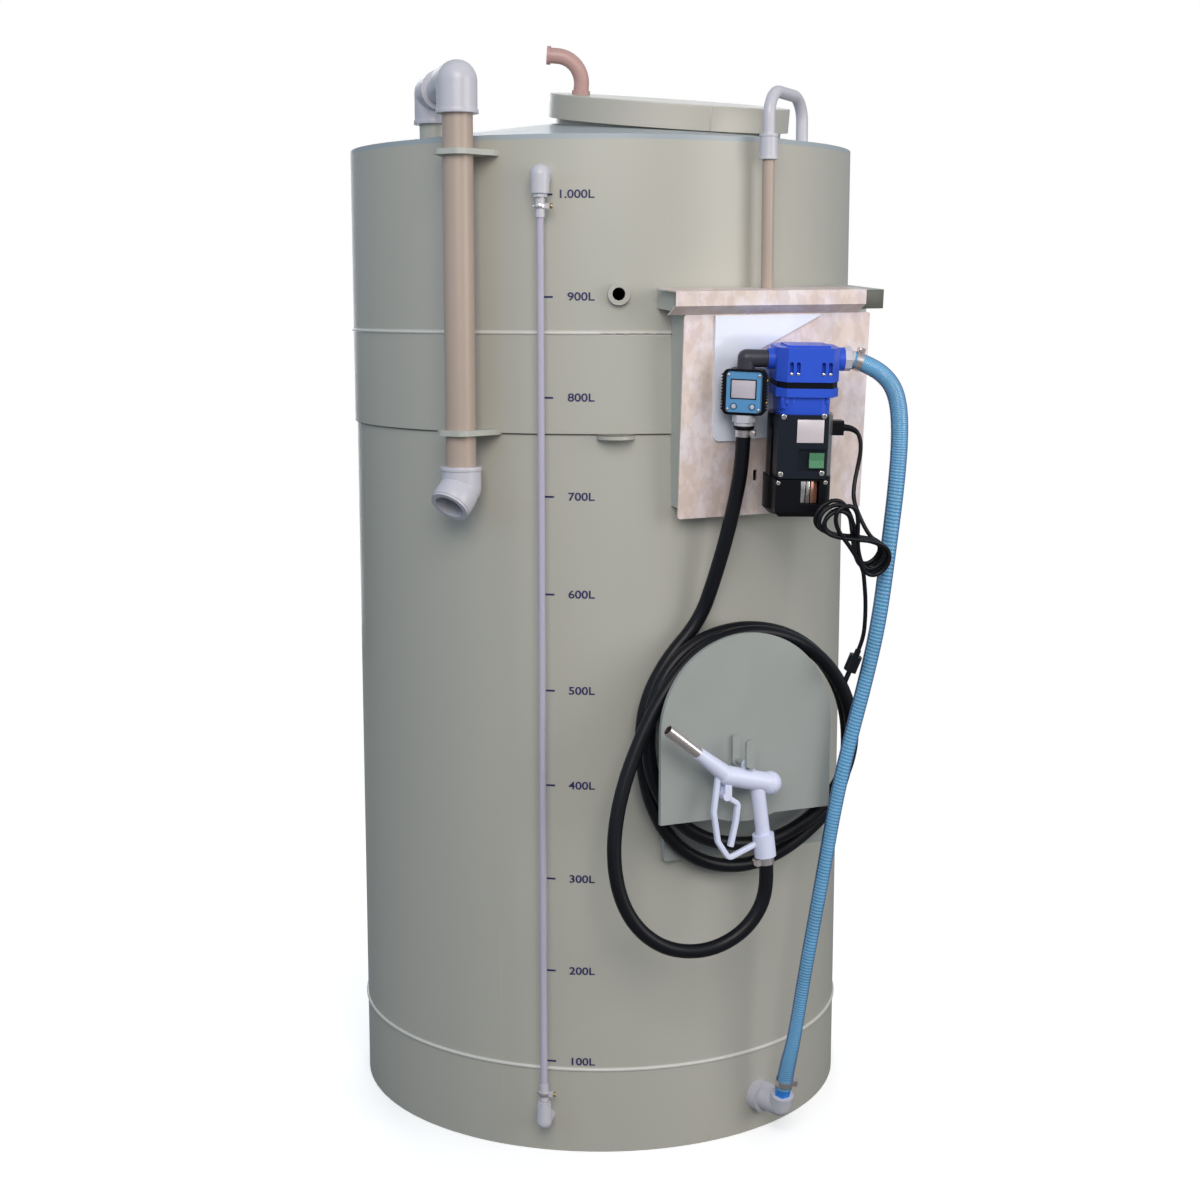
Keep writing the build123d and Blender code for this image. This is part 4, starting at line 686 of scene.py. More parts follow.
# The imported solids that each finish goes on
NODE_LOOKS = {
    "tank_sheet": (
        "tank_floor", "lower_shell", "upper_shell", "manhole_neck", "seam_lug", "overflow_stub",
        "fill_roof_stub",
    ),
    "roof_painted_shade": ("roof_cone",),
    "lid_sheet": ("manhole_lid",),
    "hanger_sheet": ("hanger_back", "hanger_front"),
    "clip_sheet": ("panel_box", "pipe_clip_upper", "pipe_clip_lower"),
    "pipe_plastic": ("fill_pipe", "riser_pipe"),
    "vent_plastic": ("lid_vent",),
    "fitting_plastic": (
        "fill_top_elbow", "fill_roof_elbow", "fill_mouth_elbow", "riser_bend", "roof_bend",
        "gauge_top_elbow", "gauge_bottom_elbow", "gauge_nut_upper", "gauge_nut_lower",
        "meter_adapter", "suction_nipple", "outlet_bend",
    ),
    "clear_tube": ("gauge_tube",),
    "stained_steel": ("back_plate", "rain_hood"),
    "steel": ("delivery_clamp", "suction_clamp", "outlet_clamp", "nozzle_clamp", "nozzle_spout"),
    "bracket_paint": ("pump_bracket",),
    "pump_paint": ("pump_head", "pump_flange"),
    "black_plastic": ("pump_gasket", "motor_base", "cord_gland", "meter_body"),
    "grey_plastic": ("outlet_elbow",),
    "cover_plastic": ("motor_cover",),
    "motor_paint": ("motor_tube",),
    "meter_plastic": ("meter_face",),
    "rocker_plastic": ("switch_rocker",),
    "black_rubber": ("delivery_hose", "power_cord", "cord_tail", "cord_hank", "power_plug"),
    "blue_hose": ("suction_hose",),
    "barb_plastic": ("outlet_barb",),
    "nozzle_plastic": ("nozzle_body", "nozzle_trigger"),
}


class TANK_OT_finishes(bpy.types.Operator):
    """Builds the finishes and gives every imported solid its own"""

    bl_idname = "tank.finishes"
    bl_label = "Finishes"

    def execute(self, context):
        make_looks(context.scene.tank_colours, context.scene.tank_sizes)
        for look, names in NODE_LOOKS.items():
            for name in names:
                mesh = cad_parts[name].data
                mesh.materials.clear()
                mesh.materials.append(LOOKS[look])
        return {"FINISHED"}


# Level scale on the shell

# Figures wider and bolder than the font, azimuths of both columns, and the print's sizes
FIGURE_WIDTH = 1.2
FIGURE_BOLD = 0.016
FIGURES_AZIMUTH = -1.2
TICKS_AZIMUTH = -10.75
PRINT_THICKNESS = 0.0003
PRINT_LIFT = 0.0002
TICK_SIZE = (0.0155, 0.003)
STEPS_OF_SCALE = 10


def curl(obj, radius):
    """Wraps a flat piece round an upright cylinder: its X runs round, its Z outwards."""
    for vertex in obj.data.vertices:
        turn = vertex.co.x / radius
        out = radius + vertex.co.z
        vertex.co = Vector((out * math.sin(turn), vertex.co.y, out * math.cos(turn)))
    return obj


def sheet(width, tall, thick, parts=8):
    """A flat sheet about the origin that can be curled."""
    deselect()
    bpy.ops.mesh.primitive_grid_add(x_subdivisions=parts, y_subdivisions=1, size=1.0)
    obj = bpy.context.object
    obj.scale = (width, tall, 1.0)
    settle(obj)
    modify(obj, "SOLIDIFY", thickness=thick, offset=1.0)
    return obj


def shell_text(words, size):
    """Flat bold figures that end at the origin."""
    deselect()
    bpy.ops.object.text_add(location=(0, 0, 0))
    obj = bpy.context.object
    obj.data.body = words
    obj.data.size = size
    obj.data.offset = size * FIGURE_BOLD
    obj.data.align_x = "RIGHT"
    obj.data.align_y = "CENTER"
    only(obj)
    bpy.ops.object.convert(target="MESH")
    obj = bpy.context.object
    obj.scale = (FIGURE_WIDTH, 1.0, 1.0)
    settle(obj)
    modify(obj, "SOLIDIFY", thickness=PRINT_THICKNESS, offset=1.0)
    return obj


class TANK_OT_level_scale(bpy.types.Operator):
    """Adds the marks and figures of the level scale"""

    bl_idname = "tank.level_scale"
    bl_label = "Level scale"

    def execute(self, context):
        sizes = context.scene.tank_sizes
        for step in range(1, STEPS_OF_SCALE + 1):
            height = sizes.litre_step * step
            radius = PRINT_LIFT + (SHELL_RADIUS if height < HOOD_FOOT_HEIGHT else HOOD_RADIUS)
            words = "1.000L" if step == STEPS_OF_SCALE else f"{step * 100}L"
            figures = curl(shell_text(words, sizes.figure_height), radius)
            settle(figures, outward(FIGURES_AZIMUTH, 0.0, height))
            tick = curl(sheet(*TICK_SIZE, PRINT_THICKNESS), radius)
            settle(tick, outward(TICKS_AZIMUTH, 0.0, height))
            piece(join([figures, tick]), f"level_mark_{step:02d}", LOOKS["mark_print"])
        return {"FINISHED"}


# Fittings and small parts

# Faces of the pump, as distances out from its axis
COVER_FACE = 0.060
BASE_FACE = 0.058
HEAD_FACE = 0.0455
POST_FACE = 0.0345
MOTOR_RADIUS = 0.0521
WINDOW_RADIUS = 0.0526

COVER_SCREWS = ((-0.038, 0.0135), (0.0275, 0.0150), (-0.0395, -0.0790), (0.0275, -0.0770))
BASE_SCREWS = ((-0.0420, -0.0935), (0.0350, -0.0925))
HEAD_STUDS = ((-0.026, 0.0800), (-0.015, 0.0800), (0.026, 0.0800), (0.037, 0.0800))

# Posts under the head: place to the right, height and length
FLANGE_POSTS = (
    (-0.034, 0.0335, 0.020), (-0.0245, 0.0385, 0.015),
    (0.0235, 0.0385, 0.015), (0.0335, 0.0335, 0.020),
)

# Strips of the motor seen in the window: name, finish, place round the motor and width
WINDOW_STRIPS = (
    ("window_strip_left", "bright_steel", 0.0000, 0.0070),
    ("window_strip_middle", "bright_steel", 0.0080, 0.0055),
    ("window_strip_right", "copper", 0.0185, 0.0120),
)


def on_pump(places, out):
    """Frames on a face of the pump."""
    return [at(PUMP, right, up, out) for right, up in places]


class TANK_OT_pump_parts(bpy.types.Operator):
    """Adds the screws, studs, bare label, window parts and bright band of the pump, and a dark sheet of
    painted shade on the rail's end
    """

    bl_idname = "tank.pump_parts"
    bl_label = "Pump parts"

    def execute(self, context):
        head = context.scene.tank_sizes.screw_head
        bright = LOOKS["bright_steel"]
        screws("cover_screws", bright, on_pump(COVER_SCREWS, COVER_FACE), head, 0.0024)
        screws("base_screws", bright, on_pump(BASE_SCREWS, BASE_FACE), head * 0.78, 0.0018)
        screws("head_studs", bright, on_pump(HEAD_STUDS, HEAD_FACE), 0.0027, 0.0042, cross=False)
        label = block((0.0435, 0.0370, 0.0009), (0, 0, 0.0003), edge=0.0004)
        piece(label, "rating_label", LOOKS["label_foil"],
              place=at(PUMP, 0.0065, -0.0095, COVER_FACE))
        posts = []
        for right, up, tall in FLANGE_POSTS:
            post = disc(0.0046, tall, edge=0.0008, facing="UP")
            settle(post, at(PUMP, right, up, POST_FACE))
            posts.append(post)
        piece(join(posts), "flange_posts", LOOKS["pump_paint"])
        # A thin dark sheet over the rail's right end beside the hood lip: painted shade, not a part.
        shade = block((0.0500, 0.0315, 0.0012), edge=0.0004)
        piece(shade, "painted_shade_on_rail", LOOKS["rail_painted_shade"],
              place=at(PANEL, 0.1780, 0.188, -0.0012))
        self.add_window()
        self.add_band()
        return {"FINISHED"}

    def add_window(self):
        """Bright and copper strips of the motor seen through the window in its base cap."""
        for name, look, middle, width in WINDOW_STRIPS:
            strip = curl(sheet(width, 0.036, 0.0008, parts=6), WINDOW_RADIUS)
            modify(strip, "BEVEL", width=0.0003, segments=2, limit_method="ANGLE",
                   angle_limit=math.radians(60))
            place = at(PUMP, 0, -0.109, 0) @ Matrix.Rotation(middle / WINDOW_RADIUS, 4, "Y")
            piece(strip, name, LOOKS[look], place=place)

    def add_band(self):
        """The bright side of the motor tube, right of the switch box."""
        band = curl(sheet(0.056, 0.098, 0.0026, parts=24), MOTOR_RADIUS)
        place = turned(PUMP, 0, -0.036, 0, 80.0)
        piece(band, "motor_band", LOOKS["bright_steel"], place=place)


# Meter: teeth along each side of the rim, and heights of the display and the buttons
TEETH_A_SIDE = 12
TOOTH_PITCH = 0.0050
DISPLAY_HEIGHT = 0.052
BUTTON_HEIGHT = 0.024
BUTTON_ASIDE = 0.015
SIDES = (-1, 1)


class TANK_OT_meter_parts(bpy.types.Operator):
    """Adds the teeth of the meter's rim, its display pane, button rings and screws"""

    bl_idname = "tank.meter_parts"
    bl_label = "Meter parts"

    def execute(self, context):
        black, glass = LOOKS["black_plastic"], LOOKS["display_glass"]
        tooth = block((0.0034, 0.0026, 0.0086), edge=0.0006)
        teeth = [
            copy_to(tooth, at(METER, side * 0.0356, 0.0185 + count * TOOTH_PITCH, 0.009))
            for side in SIDES for count in range(TEETH_A_SIDE)
        ]
        bpy.data.objects.remove(tooth)
        piece(join(teeth), "meter_teeth", black)
        pane = block((0.0402, 0.0302, 0.0012), edge=0.0004)
        piece(pane, "meter_display", glass,
              place=at(METER, 0, DISPLAY_HEIGHT, 0.0203))
        piece(self.display_frame(), "display_frame", black,
              place=at(METER, 0, DISPLAY_HEIGHT, 0.0211))
        rings = [
            disc(0.0054, 0.0012, (side * BUTTON_ASIDE, BUTTON_HEIGHT, 0.0214), edge=0.0004,
                 inner=0.0042)
            for side in SIDES
        ]
        piece(join(rings), "button_rings", black, place=METER)
        caps = [
            disc(0.0034, 0.0014, (side * BUTTON_ASIDE, BUTTON_HEIGHT, 0.0230), edge=0.0005)
            for side in SIDES
        ]
        piece(join(caps), "button_caps", glass, place=METER)
        corners = [at(METER, side * 0.0250, up, 0.021) for side in SIDES for up in (0.0185, 0.0735)]
        screws("meter_screws", LOOKS["bright_steel"], corners, 0.0026, 0.0014)
        heads = [
            disc(0.0034, 0.0040, (0.0362, up, 0.0075), edge=0.0008, facing="RIGHT")
            for up in (0.030, 0.066)
        ]
        piece(join(heads), "rim_screws", LOOKS["brass"], place=METER)
        ring = disc(0.0170, 0.0060, (0, -0.0115, 0), edge=0.0012, facing="UP")
        piece(ring, "adapter_ring", black, place=METER)
        return {"FINISHED"}

    def display_frame(self):
        """A thin dark frame round the display."""
        frame_block = block((0.0424, 0.0324, 0.0010), edge=0.0003)
        carve(frame_block, block((0.0388, 0.0288, 0.0030), edge=0.0003))
        return frame_block


# Pipes, their corners and the lid with its welded joint
DOWN = Vector((0, 0, -1))
FILL_PIPE_RADIUS = 0.033
RISER_RADIUS = 0.0146
FILL_TOP = FILL.translation.copy()
ROOF_STUB = Vector((-0.279, -0.288, 0.0))
MOUTH_CORNER = Vector((FILL_TOP.x, FILL_TOP.y, 1.157))
MOUTH_WAY = Vector((-0.415627, -0.572061, -0.707107))
LID_MIDDLE = (0.120, -0.110, 1.768)
LID_EDGE = 0.212
LID_TILT, LID_TURN, WELD_TURN = math.radians(7.8), math.radians(29.0), math.radians(-101.5)


def rim(centre, along, radius, depth, wall=0.0016):
    """A raised ring round a pipe, its middle at the centre."""
    side = Vector((0, 0, 1)) if abs(Vector(along).normalized().z) < 0.9 else Vector((1, 0, 0))
    ring = disc(radius + wall, depth, edge=0.0006, sides=56, inner=radius - 0.0006)
    settle(ring, axes(centre, side, along))
    return ring


class TANK_OT_fittings(bpy.types.Operator):
    """Adds the rims of the pipe elbows, the lid's weld, and the gauge's rings and wing screws"""

    bl_idname = "tank.fittings"
    bl_label = "Fittings"

    def execute(self, context):
        self.add_rims()
        self.add_gauge()
        self.add_lid_weld()
        return {"FINISHED"}

    def add_rims(self):
        """Rims where the pipes enter the elbows of the fill pipe and of the riser."""
        rings = [
            rim(Vector((place.x, place.y, height)), DOWN, FILL_PIPE_RADIUS, 0.007)
            for place, height in ((FILL_TOP, 1.7595), (ROOF_STUB, 1.7555), (FILL_TOP, 1.1875))
        ]
        mouth = MOUTH_CORNER + MOUTH_WAY * 0.0250
        rings.append(rim(mouth, MOUTH_WAY, FILL_PIPE_RADIUS, 0.030, wall=0.0012))
        piece(join(rings), "elbow_rims", LOOKS["fitting_plastic"])
        rings = [
            rim(spot(RISER, 0, height, 0), DOWN, RISER_RADIUS, 0.005, wall=0.001)
            for height in (1.6895, 1.7255)
        ]
        piece(join(rings), "riser_rims", LOOKS["fitting_plastic"])

    def add_gauge(self):
        """Two rings, a nub and a wing screw on each nut of the level gauge."""
        bands, heads = [], []
        for height, ring_height in ((1.6095, 1.6225), (0.115, 0.102)):
            for place, radius, depth in ((height, 0.0091, 0.007), (ring_height, 0.0076, 0.002)):
                bands.append(rim(spot(GAUGE, 0, place, 0), -DOWN, radius, depth, wall=0.0005))
            nub = block((0.0050, 0.0026, 0.0026), edge=0.0005)
            settle(nub, at(GAUGE, -0.0110, height, 0))
            bands.append(nub)
            head = disc(0.0046, 0.0034, edge=0.0007, sides=14, facing="RIGHT")
            settle(head, at(GAUGE, 0.0188, height, 0))
            heads.append(head)
        piece(join(bands), "gauge_bands", LOOKS["steel"])
        piece(join(heads), "gauge_wing_screws", LOOKS["brass"])

    def add_lid_weld(self):
        """The welded joint down the lid's edge."""
        up = Vector((
            math.sin(LID_TURN) * math.sin(LID_TILT), -math.cos(LID_TURN) * math.sin(LID_TILT),
            math.cos(LID_TILT),
        ))
        lid = axes(LID_MIDDLE, (math.cos(LID_TURN), math.sin(LID_TURN), 0.0), up)
        way = Vector((math.cos(WELD_TURN), math.sin(WELD_TURN), 0.0))
        edge = spot(lid, way.x * LID_EDGE, way.y * LID_EDGE, 0.0205)
        out = (lid.to_3x3() @ way).normalized()
        bead = disc(0.0022, 0.0400, edge=0.0009, sides=12, facing="UP")
        place = axes(edge - out * 0.0011, up.cross(out), out)
        piece(bead, "lid_weld", LOOKS["lid_sheet"], body="lid", place=place)


# Hoses and cord

# Radii of the hoses, the cord and its sleeve, and how long the sleeve is
DELIVERY_RADIUS = 0.012
SUCTION_RADIUS = 0.0145
CORD_RADIUS = 0.0035
RELIEF_RADIUS = 0.0062
RELIEF_LENGTH = 0.026


def on_hanger(right, up, out):
    """A point in the hose hanger's frame."""
    return spot(HANGER, right, up, out)


def route_curve(name, points, radius, resolution=6, widths=None):
    """A smooth tube along given route points; widths scale its radius point by point."""
    curve = bpy.data.curves.new(name, "CURVE")
    curve.dimensions = "3D"
    spline = curve.splines.new("NURBS")
    spline.points.add(len(points) - 1)
    for target, place in zip(spline.points, points):
        target.co = (*place, 1.0)
    for target, width in zip(spline.points, widths or ()):
        target.radius = width
    spline.order_u = 3
    spline.use_endpoint_u = True
    spline.resolution_u = resolution
    curve.bevel_depth = radius
    curve.bevel_resolution = 5
    curve.use_fill_caps = True
    obj = bpy.data.objects.new(name, curve)
    bpy.context.collection.objects.link(obj)
    return obj


DELIVERY_START = spot(METER, 0, -0.013, 0)
HOSE_DROP = (METER.to_3x3() @ Vector((0, -1, 0))).normalized()
COLLAR_END = on_hanger(0.0305, 0.556, 0.600)
NOZZLE_WAY = (COLLAR_END - on_hanger(0.0255, 0.594, 0.600)).normalized()


# The delivery hose round the drum and down to the nozzle, in the hanger's frame
DRUM_ROUTE = (
    (-0.030, 0.933, 0.474),
    (-0.092, 0.872, 0.474),
    (-0.132, 0.800, 0.474),
    (-0.138, 0.714, 0.474),
    (-0.120, 0.628, 0.475),
    (-0.082, 0.560, 0.476),
    (-0.020, 0.515, 0.477),
    (0.055, 0.501, 0.478),
    (0.124, 0.517, 0.479),
    (0.182, 0.551, 0.480),
    (0.229, 0.594, 0.481),
    (0.254, 0.658, 0.483),
    (0.254, 0.727, 0.487),
    (0.237, 0.792, 0.491),
    (0.200, 0.850, 0.496),
    (0.148, 0.893, 0.500),
    (0.087, 0.917, 0.500),
    (0.022, 0.922, 0.500),
    (-0.043, 0.907, 0.500),
    (-0.098, 0.867, 0.500),
    (-0.130, 0.806, 0.500),
    (-0.139, 0.737, 0.500),
    (-0.126, 0.668, 0.501),
    (-0.088, 0.606, 0.501),
    (-0.034, 0.566, 0.502),
    (0.032, 0.549, 0.503),
    (0.096, 0.550, 0.504),
    (0.155, 0.572, 0.506),
    (0.205, 0.610, 0.508),
    (0.238, 0.665, 0.511),
    (0.247, 0.730, 0.515),
    (0.230, 0.795, 0.518),
    (0.190, 0.852, 0.522),
    (0.135, 0.894, 0.526),
    (0.070, 0.917, 0.527),
    (0.003, 0.918, 0.528),
    (-0.062, 0.893, 0.529),
    (-0.120, 0.835, 0.530),
    (-0.167, 0.755, 0.531),
    (-0.205, 0.665, 0.537),
    (-0.222, 0.578, 0.546),
    (-0.214, 0.500, 0.557),
    (-0.182, 0.442, 0.568),
    (-0.128, 0.406, 0.578),
    (-0.057, 0.402, 0.588),
    (0.006, 0.436, 0.596),
)


def delivery_route():
    """From the meter down, twice round the drum, then up to the nozzle."""
    return [
        DELIVERY_START,
        DELIVERY_START + HOSE_DROP * 0.055,
        Vector((0.222, -0.469, 1.143)),
        Vector((0.209, -0.465, 1.082)),
        Vector((0.190, -0.457, 1.010)),
        *(on_hanger(*place) for place in DRUM_ROUTE),
        COLLAR_END + NOZZLE_WAY * 0.058,
        COLLAR_END,
    ]


PORT_TILT = math.radians(16.0)
SUCTION_WAY = (
    PUMP.to_3x3() @ Vector((math.cos(PORT_TILT), -math.sin(PORT_TILT), 0.0))
).normalized()
SUCTION_START = spot(PUMP, 0.079, 0.101, 0.0) + SUCTION_WAY * 0.0046
HOSE_WIDTHS = (
    1.0, 1.0, 1.0, 1.0, 0.97, 0.94, 0.91, 0.88, 0.86, 0.85, 0.84, 0.83, 0.82, 0.81, 0.81, 0.84,
    0.98, 1.0,
)
OUTLET_CORNER = OUTLET.translation.copy()
OUTLET_UP = Vector((9.0, -27.0, 86.0)).normalized()
SUCTION_END = OUTLET_CORNER + OUTLET_UP * 0.038


def suction_route():
    """From the pump's right port down to the base outlet."""
    return [
        SUCTION_START,
        SUCTION_START + SUCTION_WAY * 0.030,
        Vector((0.469, -0.468, 1.333)),
        Vector((0.484, -0.468, 1.299)),
        Vector((0.488, -0.468, 1.243)),
        Vector((0.484, -0.467, 1.160)),
        Vector((0.473, -0.466, 1.050)),
        Vector((0.461, -0.466, 0.938)),
        Vector((0.441, -0.464, 0.836)),
        Vector((0.417, -0.462, 0.734)),
        Vector((0.396, -0.460, 0.630)),
        Vector((0.382, -0.457, 0.535)),
        Vector((0.367, -0.452, 0.435)),
        Vector((0.352, -0.446, 0.335)),
        Vector((0.341, -0.440, 0.250)),
        Vector((0.333, -0.433, 0.190)),
        SUCTION_END + OUTLET_UP * 0.050,
        SUCTION_END,
    ]


CORD_START = spot(PUMP, 0.071, -0.010, 0.006)
PUMP_RIGHT = (PUMP.to_3x3() @ Vector((1, 0, 0))).normalized()
HANK_MIDDLE = Vector((0.405, -0.524, 1.0805))

# Turns of the tied cord: reach and half width of each lobe, left then right, depth, lift at left
CORD_TURNS = (
    (0.0800, 0.0300, 0.0690, 0.0240, -0.0100, 0.0020),
    (0.0640, 0.0220, 0.0580, 0.0215, -0.0035, 0.0),
    (0.0790, 0.0265, 0.0740, 0.0265, 0.0035, 0.0010),
    (0.0690, 0.0225, 0.0640, 0.0225, 0.0095, -0.0020),
    (0.0560, 0.0275, 0.0760, 0.0265, 0.0125, 0.0100),
)


# How far the turns arch upwards at the crossing and how far along, and where the last one ends
HANK_ARCH = 0.0065
HANK_REACH = 0.07
LAST_TURN_SHARE = 0.62

# The end of the last turn and the pass over it, in the tied cord's frame
HANK_END = (
    (-0.0530, 0.0370, 0.0120), (-0.0640, 0.0185, 0.0130), (-0.0540, 0.0020, 0.0142),
    (-0.0320, -0.0070, 0.0150), (-0.0060, -0.0100, 0.0150), (0.0200, -0.0150, 0.0140),
    (0.0500, -0.0220, 0.0100),
)


def hank_frame():
    """Frame of the tied cord: X along it, Z towards the viewer."""
    way = Vector((78.0, 41.0, -75.0)).normalized()
    front = (Vector((0, -1, 0)) + way * way.y).normalized()
    return axes(HANK_MIDDLE, way, front)


def hank_turns(steps=18):
    """Figure-of-eight turns that fan out, from the crossing through both lobes and on."""
    base = hank_frame()
    points = []
    last = len(CORD_TURNS) - 1
    for step in range(1, int((last + LAST_TURN_SHARE) * steps) + 1):
        count, share = divmod(step / steps, 1.0)
        left, left_wide, right, right_wide, depth, lift = CORD_TURNS[int(count)]
        following = CORD_TURNS[min(int(count) + 1, last)]
        ease = max(0.0, 2.0 * share - 1.0)
        ease = ease * ease * (3.0 - 2.0 * ease)
        right += (following[2] - right) * ease
        right_wide += (following[3] - right_wide) * ease
        depth += (following[4] - depth) * ease
        turn = math.pi / 2 - 2 * math.pi * share
        side = (1.0 - math.cos(turn)) / 2
        reach = right * (1.0 - side) + left * side
        wide = right_wide * (1.0 - side) + left_wide * side
        along = reach * math.cos(turn)
        across = wide * math.sin(2 * turn) + HANK_ARCH * (1.0 - (along / HANK_REACH) ** 2)
        across += lift * max(0.0, -math.cos(turn))
        points.append(base @ Vector((along + 0.002, across, depth + 0.0022 * math.sin(turn))))
    return points


PLUG_START = Vector((0.4250, -0.4870, 0.8920))
PLUG_WAY = Vector((-10.0, 1.5, -26.0)).normalized()


def cord_route():
    """From the gland into the tied turns, over them and down to the plug."""
    base = hank_frame()
    return [
        CORD_START,
        CORD_START + PUMP_RIGHT * 0.0105,
        Vector((0.4185, -0.4665, 1.2495)),
        Vector((0.4240, -0.4680, 1.2360)),
        Vector((0.4245, -0.4690, 1.2160)),
        Vector((0.4200, -0.4705, 1.1930)),
        Vector((0.4145, -0.4750, 1.1680)),
        Vector((0.4115, -0.4840, 1.1450)),
        Vector((0.4165, -0.4970, 1.1220)),
        *hank_turns(),
        *(spot(base, *place) for place in HANK_END),
        Vector((0.4295, -0.5080, 1.0070)),
        Vector((0.4330, -0.5010, 0.9780)),
        Vector((0.4340, -0.4950, 0.9450)),
        PLUG_START - PLUG_WAY * 0.021,
        PLUG_START,
    ]


def spline_length(obj):
    """Length of a curve object's own line, and the points along it."""
    flat = obj.data.copy()
    flat.bevel_depth = 0.0
    probe = bpy.data.objects.new("probe", flat)
    bpy.context.collection.objects.link(probe)
    line = bpy.data.meshes.new_from_object(probe.evaluated_get(
        bpy.context.evaluated_depsgraph_get()))
    length = sum(
        (line.vertices[e.vertices[0]].co - line.vertices[e.vertices[1]].co).length
        for e in line.edges
    )
    points = [tuple(v.co) for v in line.vertices]
    bpy.data.objects.remove(probe)
    return length, points


def lay(obj, look, *stands_for):
    """Gives a laid hose or cord its finish and lets it take the place of its solids."""
    obj.data.materials.append(LOOKS[look])
    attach(obj, "tank")
    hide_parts(*stands_for)


class TANK_OT_hoses(bpy.types.Operator):
    """Adds the delivery hose and the suction hose as smooth tubes"""

    bl_idname = "tank.hoses"
    bl_label = "Hoses"

    def execute(self, context):
        delivery = route_curve("delivery_hose_tube", delivery_route(), DELIVERY_RADIUS)
        lay(delivery, "black_rubber", "delivery_hose")
        spline_length(delivery)[0]
        suction = route_curve(
            "suction_hose_tube", suction_route(), SUCTION_RADIUS, resolution=12,
            widths=HOSE_WIDTHS,
        )
        lay(suction, "blue_hose", "suction_hose")
        spline_length(suction)[0]
        return {"FINISHED"}


class TANK_OT_cord(bpy.types.Operator):
    """Adds the power cord with its tied turns"""

    bl_idname = "tank.cord"
    bl_label = "Power cord"

    def execute(self, context):
        cord = route_curve("power_cord_line", cord_route(), CORD_RADIUS)
        lay(cord, "black_rubber", "power_cord", "cord_hank", "cord_tail")
        length, path = spline_length(cord)
        relief = self.add_relief(path)
        return {"FINISHED"}

    def add_relief(self, path):
        """A tapered ribbed sleeve that follows the cord out of the gland."""
        follow, run = [Vector(path[0])], 0.0
        for place in path[1:]:
            run += (Vector(place) - follow[-1]).length
            follow.append(Vector(place))
            if run > RELIEF_LENGTH:
                break
        curve = bpy.data.curves.new("cord_relief", "CURVE")
        curve.dimensions = "3D"
        spline = curve.splines.new("POLY")
        spline.points.add(len(follow) - 1)
        for count, (target, place) in enumerate(zip(spline.points, follow)):
            target.co = (*place, 1.0)
            taper = 1.0 - 0.34 * count / (len(follow) - 1)
            target.radius = taper * (1.0 if count % 2 else 0.9)
        curve.bevel_depth = RELIEF_RADIUS
        curve.bevel_resolution = 6
        curve.use_fill_caps = True
        obj = bpy.data.objects.new("cord_relief", curve)
        bpy.context.collection.objects.link(obj)
        only(obj)
        bpy.ops.object.convert(target="MESH")
        obj = bpy.context.object
        piece(obj, "cord_relief", LOOKS["black_plastic"], angle=60.0)
        return obj.name


# Stage

# Name, place, size, energy and colour of each lamp
LAMPS = (
    ("key_lamp", (0.1, -4.1, 3.3), 2.4, 108.0, (1.0, 0.945, 0.89)),
    ("side_lamp", (3.6, -2.4, 2.0), 2.2, 56.0, (1.0, 0.965, 0.94)),
    ("fill_lamp", (-3.6, -2.2, 2.4), 2.6, 17.0, (0.28, 0.62, 1.0)),
    ("back_lamp", (-0.5, 4.2, 1.6), 3.0, 85.0, (1.0, 1.0, 1.0)),
    ("sheen_lamp", (2.36, -1.82, 1.085), 0.24, 0.8, (0.97, 0.97, 1.0)),
)
LAMP_AIM = Vector((0, 0, 1.15))

# Light from all round, and the floor's own glow, which hides where the shadow ends
WORLD_TINT = (0.84, 0.92, 1.0, 1.0)
WORLD_GLOW = 0.47
SHADOW_REACH, SHADOW_END = 0.62, 1.9
FLOOR_GLOW = 0.36

# Where the photograph was taken from; tilt in degrees, lens and sensor in millimetres
CAMERA_PLACE = (0.0, -3.6142, 1.4588)
CAMERA_TILT = 8.795
LENS = 57.885
SENSOR_WIDTH = 36.0
SIDE_SHIFT = -0.0003


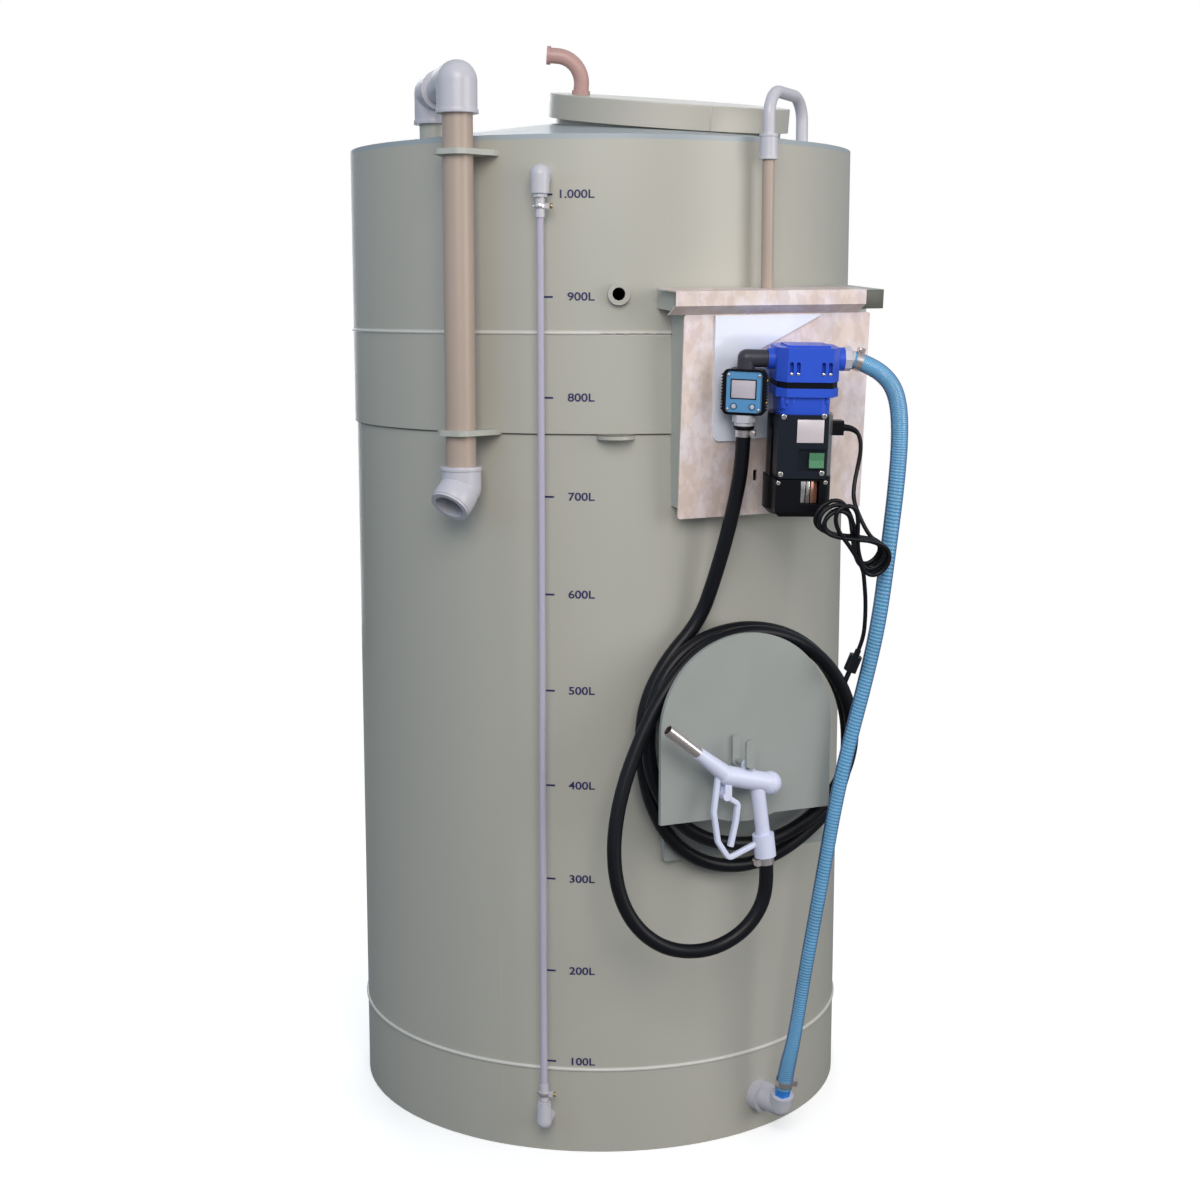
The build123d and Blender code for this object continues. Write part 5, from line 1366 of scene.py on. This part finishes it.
class TANK_OT_stage(bpy.types.Operator):
    """Adds the pale floor, soft lamps, bright surroundings and the camera"""

    bl_idname = "tank.stage"
    bl_label = "Stage"

    def execute(self, context):
        scene = context.scene
        scene.view_settings.view_transform = "Standard"
        self.add_floor(scene.tank_colours)
        self.light_world(scene)
        for lamp in LAMPS:
            self.add_lamp(*lamp)
        self.add_camera(scene)
        return {"FINISHED"}

    def add_floor(self, colours):
        """A pale floor that shows the shadow near the tank and melts into the backdrop."""
        deselect()
        bpy.ops.mesh.primitive_plane_add(size=60.0, location=(0, 0, -0.0004))
        floor = bpy.context.object
        floor.name = "floor"
        look, tree, shader, clouds = finish(
            "floor_paint", colours.floor, shaded(colours.floor, 0.985), rough=0.7, cloud=1.5,
            bump=0.0,
        )
        where = node(tree, "ShaderNodeTexCoord", (-1300, -400))
        away = node(tree, "ShaderNodeVectorMath", (-1100, -400), operation="LENGTH")
        tree.links.new(where.outputs["Object"], away.inputs[0])
        reach = node(tree, "ShaderNodeMapRange", (-900, -400), interpolation_type="SMOOTHSTEP")
        reach.inputs["From Min"].default_value = SHADOW_REACH
        reach.inputs["From Max"].default_value = SHADOW_END
        tree.links.new(away.outputs["Value"], reach.inputs["Value"])
        seen = node(tree, "ShaderNodeLightPath", (-900, -700)).outputs["Is Camera Ray"]
        far = math_node(tree, "MULTIPLY", (-700, -400), reach.outputs["Result"], seen)
        near = math_node(tree, "MULTIPLY", (-700, -700), seen, FLOOR_GLOW)
        glow = math_node(tree, "MULTIPLY_ADD", (-600, -600), far, 1.0 - FLOOR_GLOW, near)
        tree.links.new(glow, shader.inputs["Emission Strength"])
        shader.inputs["Emission Color"].default_value = (1, 1, 1, 1)
        unseen = math_node(tree, "SUBTRACT", (-600, 600), 1.0, seen)
        base = overlay(tree, clouds.outputs["Color"], unseen, (0.2, 0.2, 0.2), (-500, 400))
        base = overlay(tree, base, far, (0.0, 0.0, 0.0), (-400, 400))
        tree.links.new(base, shader.inputs["Base Color"])
        shine = math_node(tree, "MULTIPLY_ADD", (-500, -900), far, -0.5, 0.5)
        tree.links.new(shine, shader.inputs["Specular IOR Level"])
        floor.data.materials.append(look)

    def light_world(self, scene):
        """Surroundings that are white where seen and a little blue where they only light."""
        world = bpy.data.worlds.new("studio")
        world.use_nodes = True
        tree = world.node_tree
        background = tree.nodes["Background"]
        rays = node(tree, "ShaderNodeLightPath", (-700, 0))
        seen = math_node(tree, "MAXIMUM", (-500, 0), rays.outputs["Is Camera Ray"],
                         rays.outputs["Is Transmission Ray"])
        tint = node(tree, "ShaderNodeMix", (-300, 200), data_type="RGBA")
        tint.inputs[6].default_value = WORLD_TINT
        tint.inputs[7].default_value = (1.0, 1.0, 1.0, 1.0)
        tree.links.new(seen, tint.inputs["Factor"])
        level = math_node(tree, "MULTIPLY_ADD", (-200, 0), seen, 1.0 - WORLD_GLOW, WORLD_GLOW)
        tree.links.new(tint.outputs[2], background.inputs["Color"])
        tree.links.new(level, background.inputs["Strength"])
        scene.world = world

    def add_lamp(self, name, place, size, energy, colour):
        """A square lamp that points at the tank."""
        data = bpy.data.lights.new(name, "AREA")
        data.color = colour
        data.shape = "SQUARE"
        data.size = size
        data.energy = energy
        lamp = bpy.data.objects.new(name, data)
        lamp.location = place
        aim = LAMP_AIM - Vector(place)
        lamp.rotation_euler = aim.to_track_quat("-Z", "Y").to_euler()
        bpy.context.collection.objects.link(lamp)

    def add_camera(self, scene):
        """The camera where the photograph was taken from."""
        data = bpy.data.cameras.new("photo_camera")
        data.sensor_width = SENSOR_WIDTH
        data.lens = LENS
        data.shift_x = SIDE_SHIFT
        data.clip_end = 100.0
        camera = bpy.data.objects.new("photo_camera", data)
        camera.location = CAMERA_PLACE
        camera.rotation_euler = (math.radians(90.0 - CAMERA_TILT), 0.0, 0.0)
        bpy.context.collection.objects.link(camera)
        scene.camera = camera


class TANK_PT_sidebar(bpy.types.Panel):
    """Lists the tank's operators in the sidebar."""

    bl_label = "Tank"
    bl_idname = "TANK_PT_sidebar"
    bl_space_type = "VIEW_3D"
    bl_region_type = "UI"
    bl_category = "Tank"

    def draw(self, context):
        for operator in STEPS:
            self.layout.operator(operator.bl_idname)
        for group in (context.scene.tank_colours, context.scene.tank_sizes):
            for name in group.__annotations__:
                self.layout.prop(group, name)


STEPS = (
    TANK_OT_stage, TANK_OT_finishes, TANK_OT_level_scale, TANK_OT_pump_parts, TANK_OT_meter_parts,
    TANK_OT_fittings, TANK_OT_hoses, TANK_OT_cord,
)
CLASSES = (TankColours, TankSizes, *STEPS, TANK_PT_sidebar)


def register():
    for cls in CLASSES:
        bpy.utils.register_class(cls)
    bpy.types.Scene.tank_colours = PointerProperty(type=TankColours)
    bpy.types.Scene.tank_sizes = PointerProperty(type=TankSizes)


def unregister():
    del bpy.types.Scene.tank_sizes
    del bpy.types.Scene.tank_colours
    for cls in reversed(CLASSES):
        bpy.utils.unregister_class(cls)


def main():
    register()
    for operator in STEPS:
        group, name = operator.bl_idname.split(".")
        getattr(getattr(bpy.ops, group), name)()


if __name__ == "__main__":
    main()
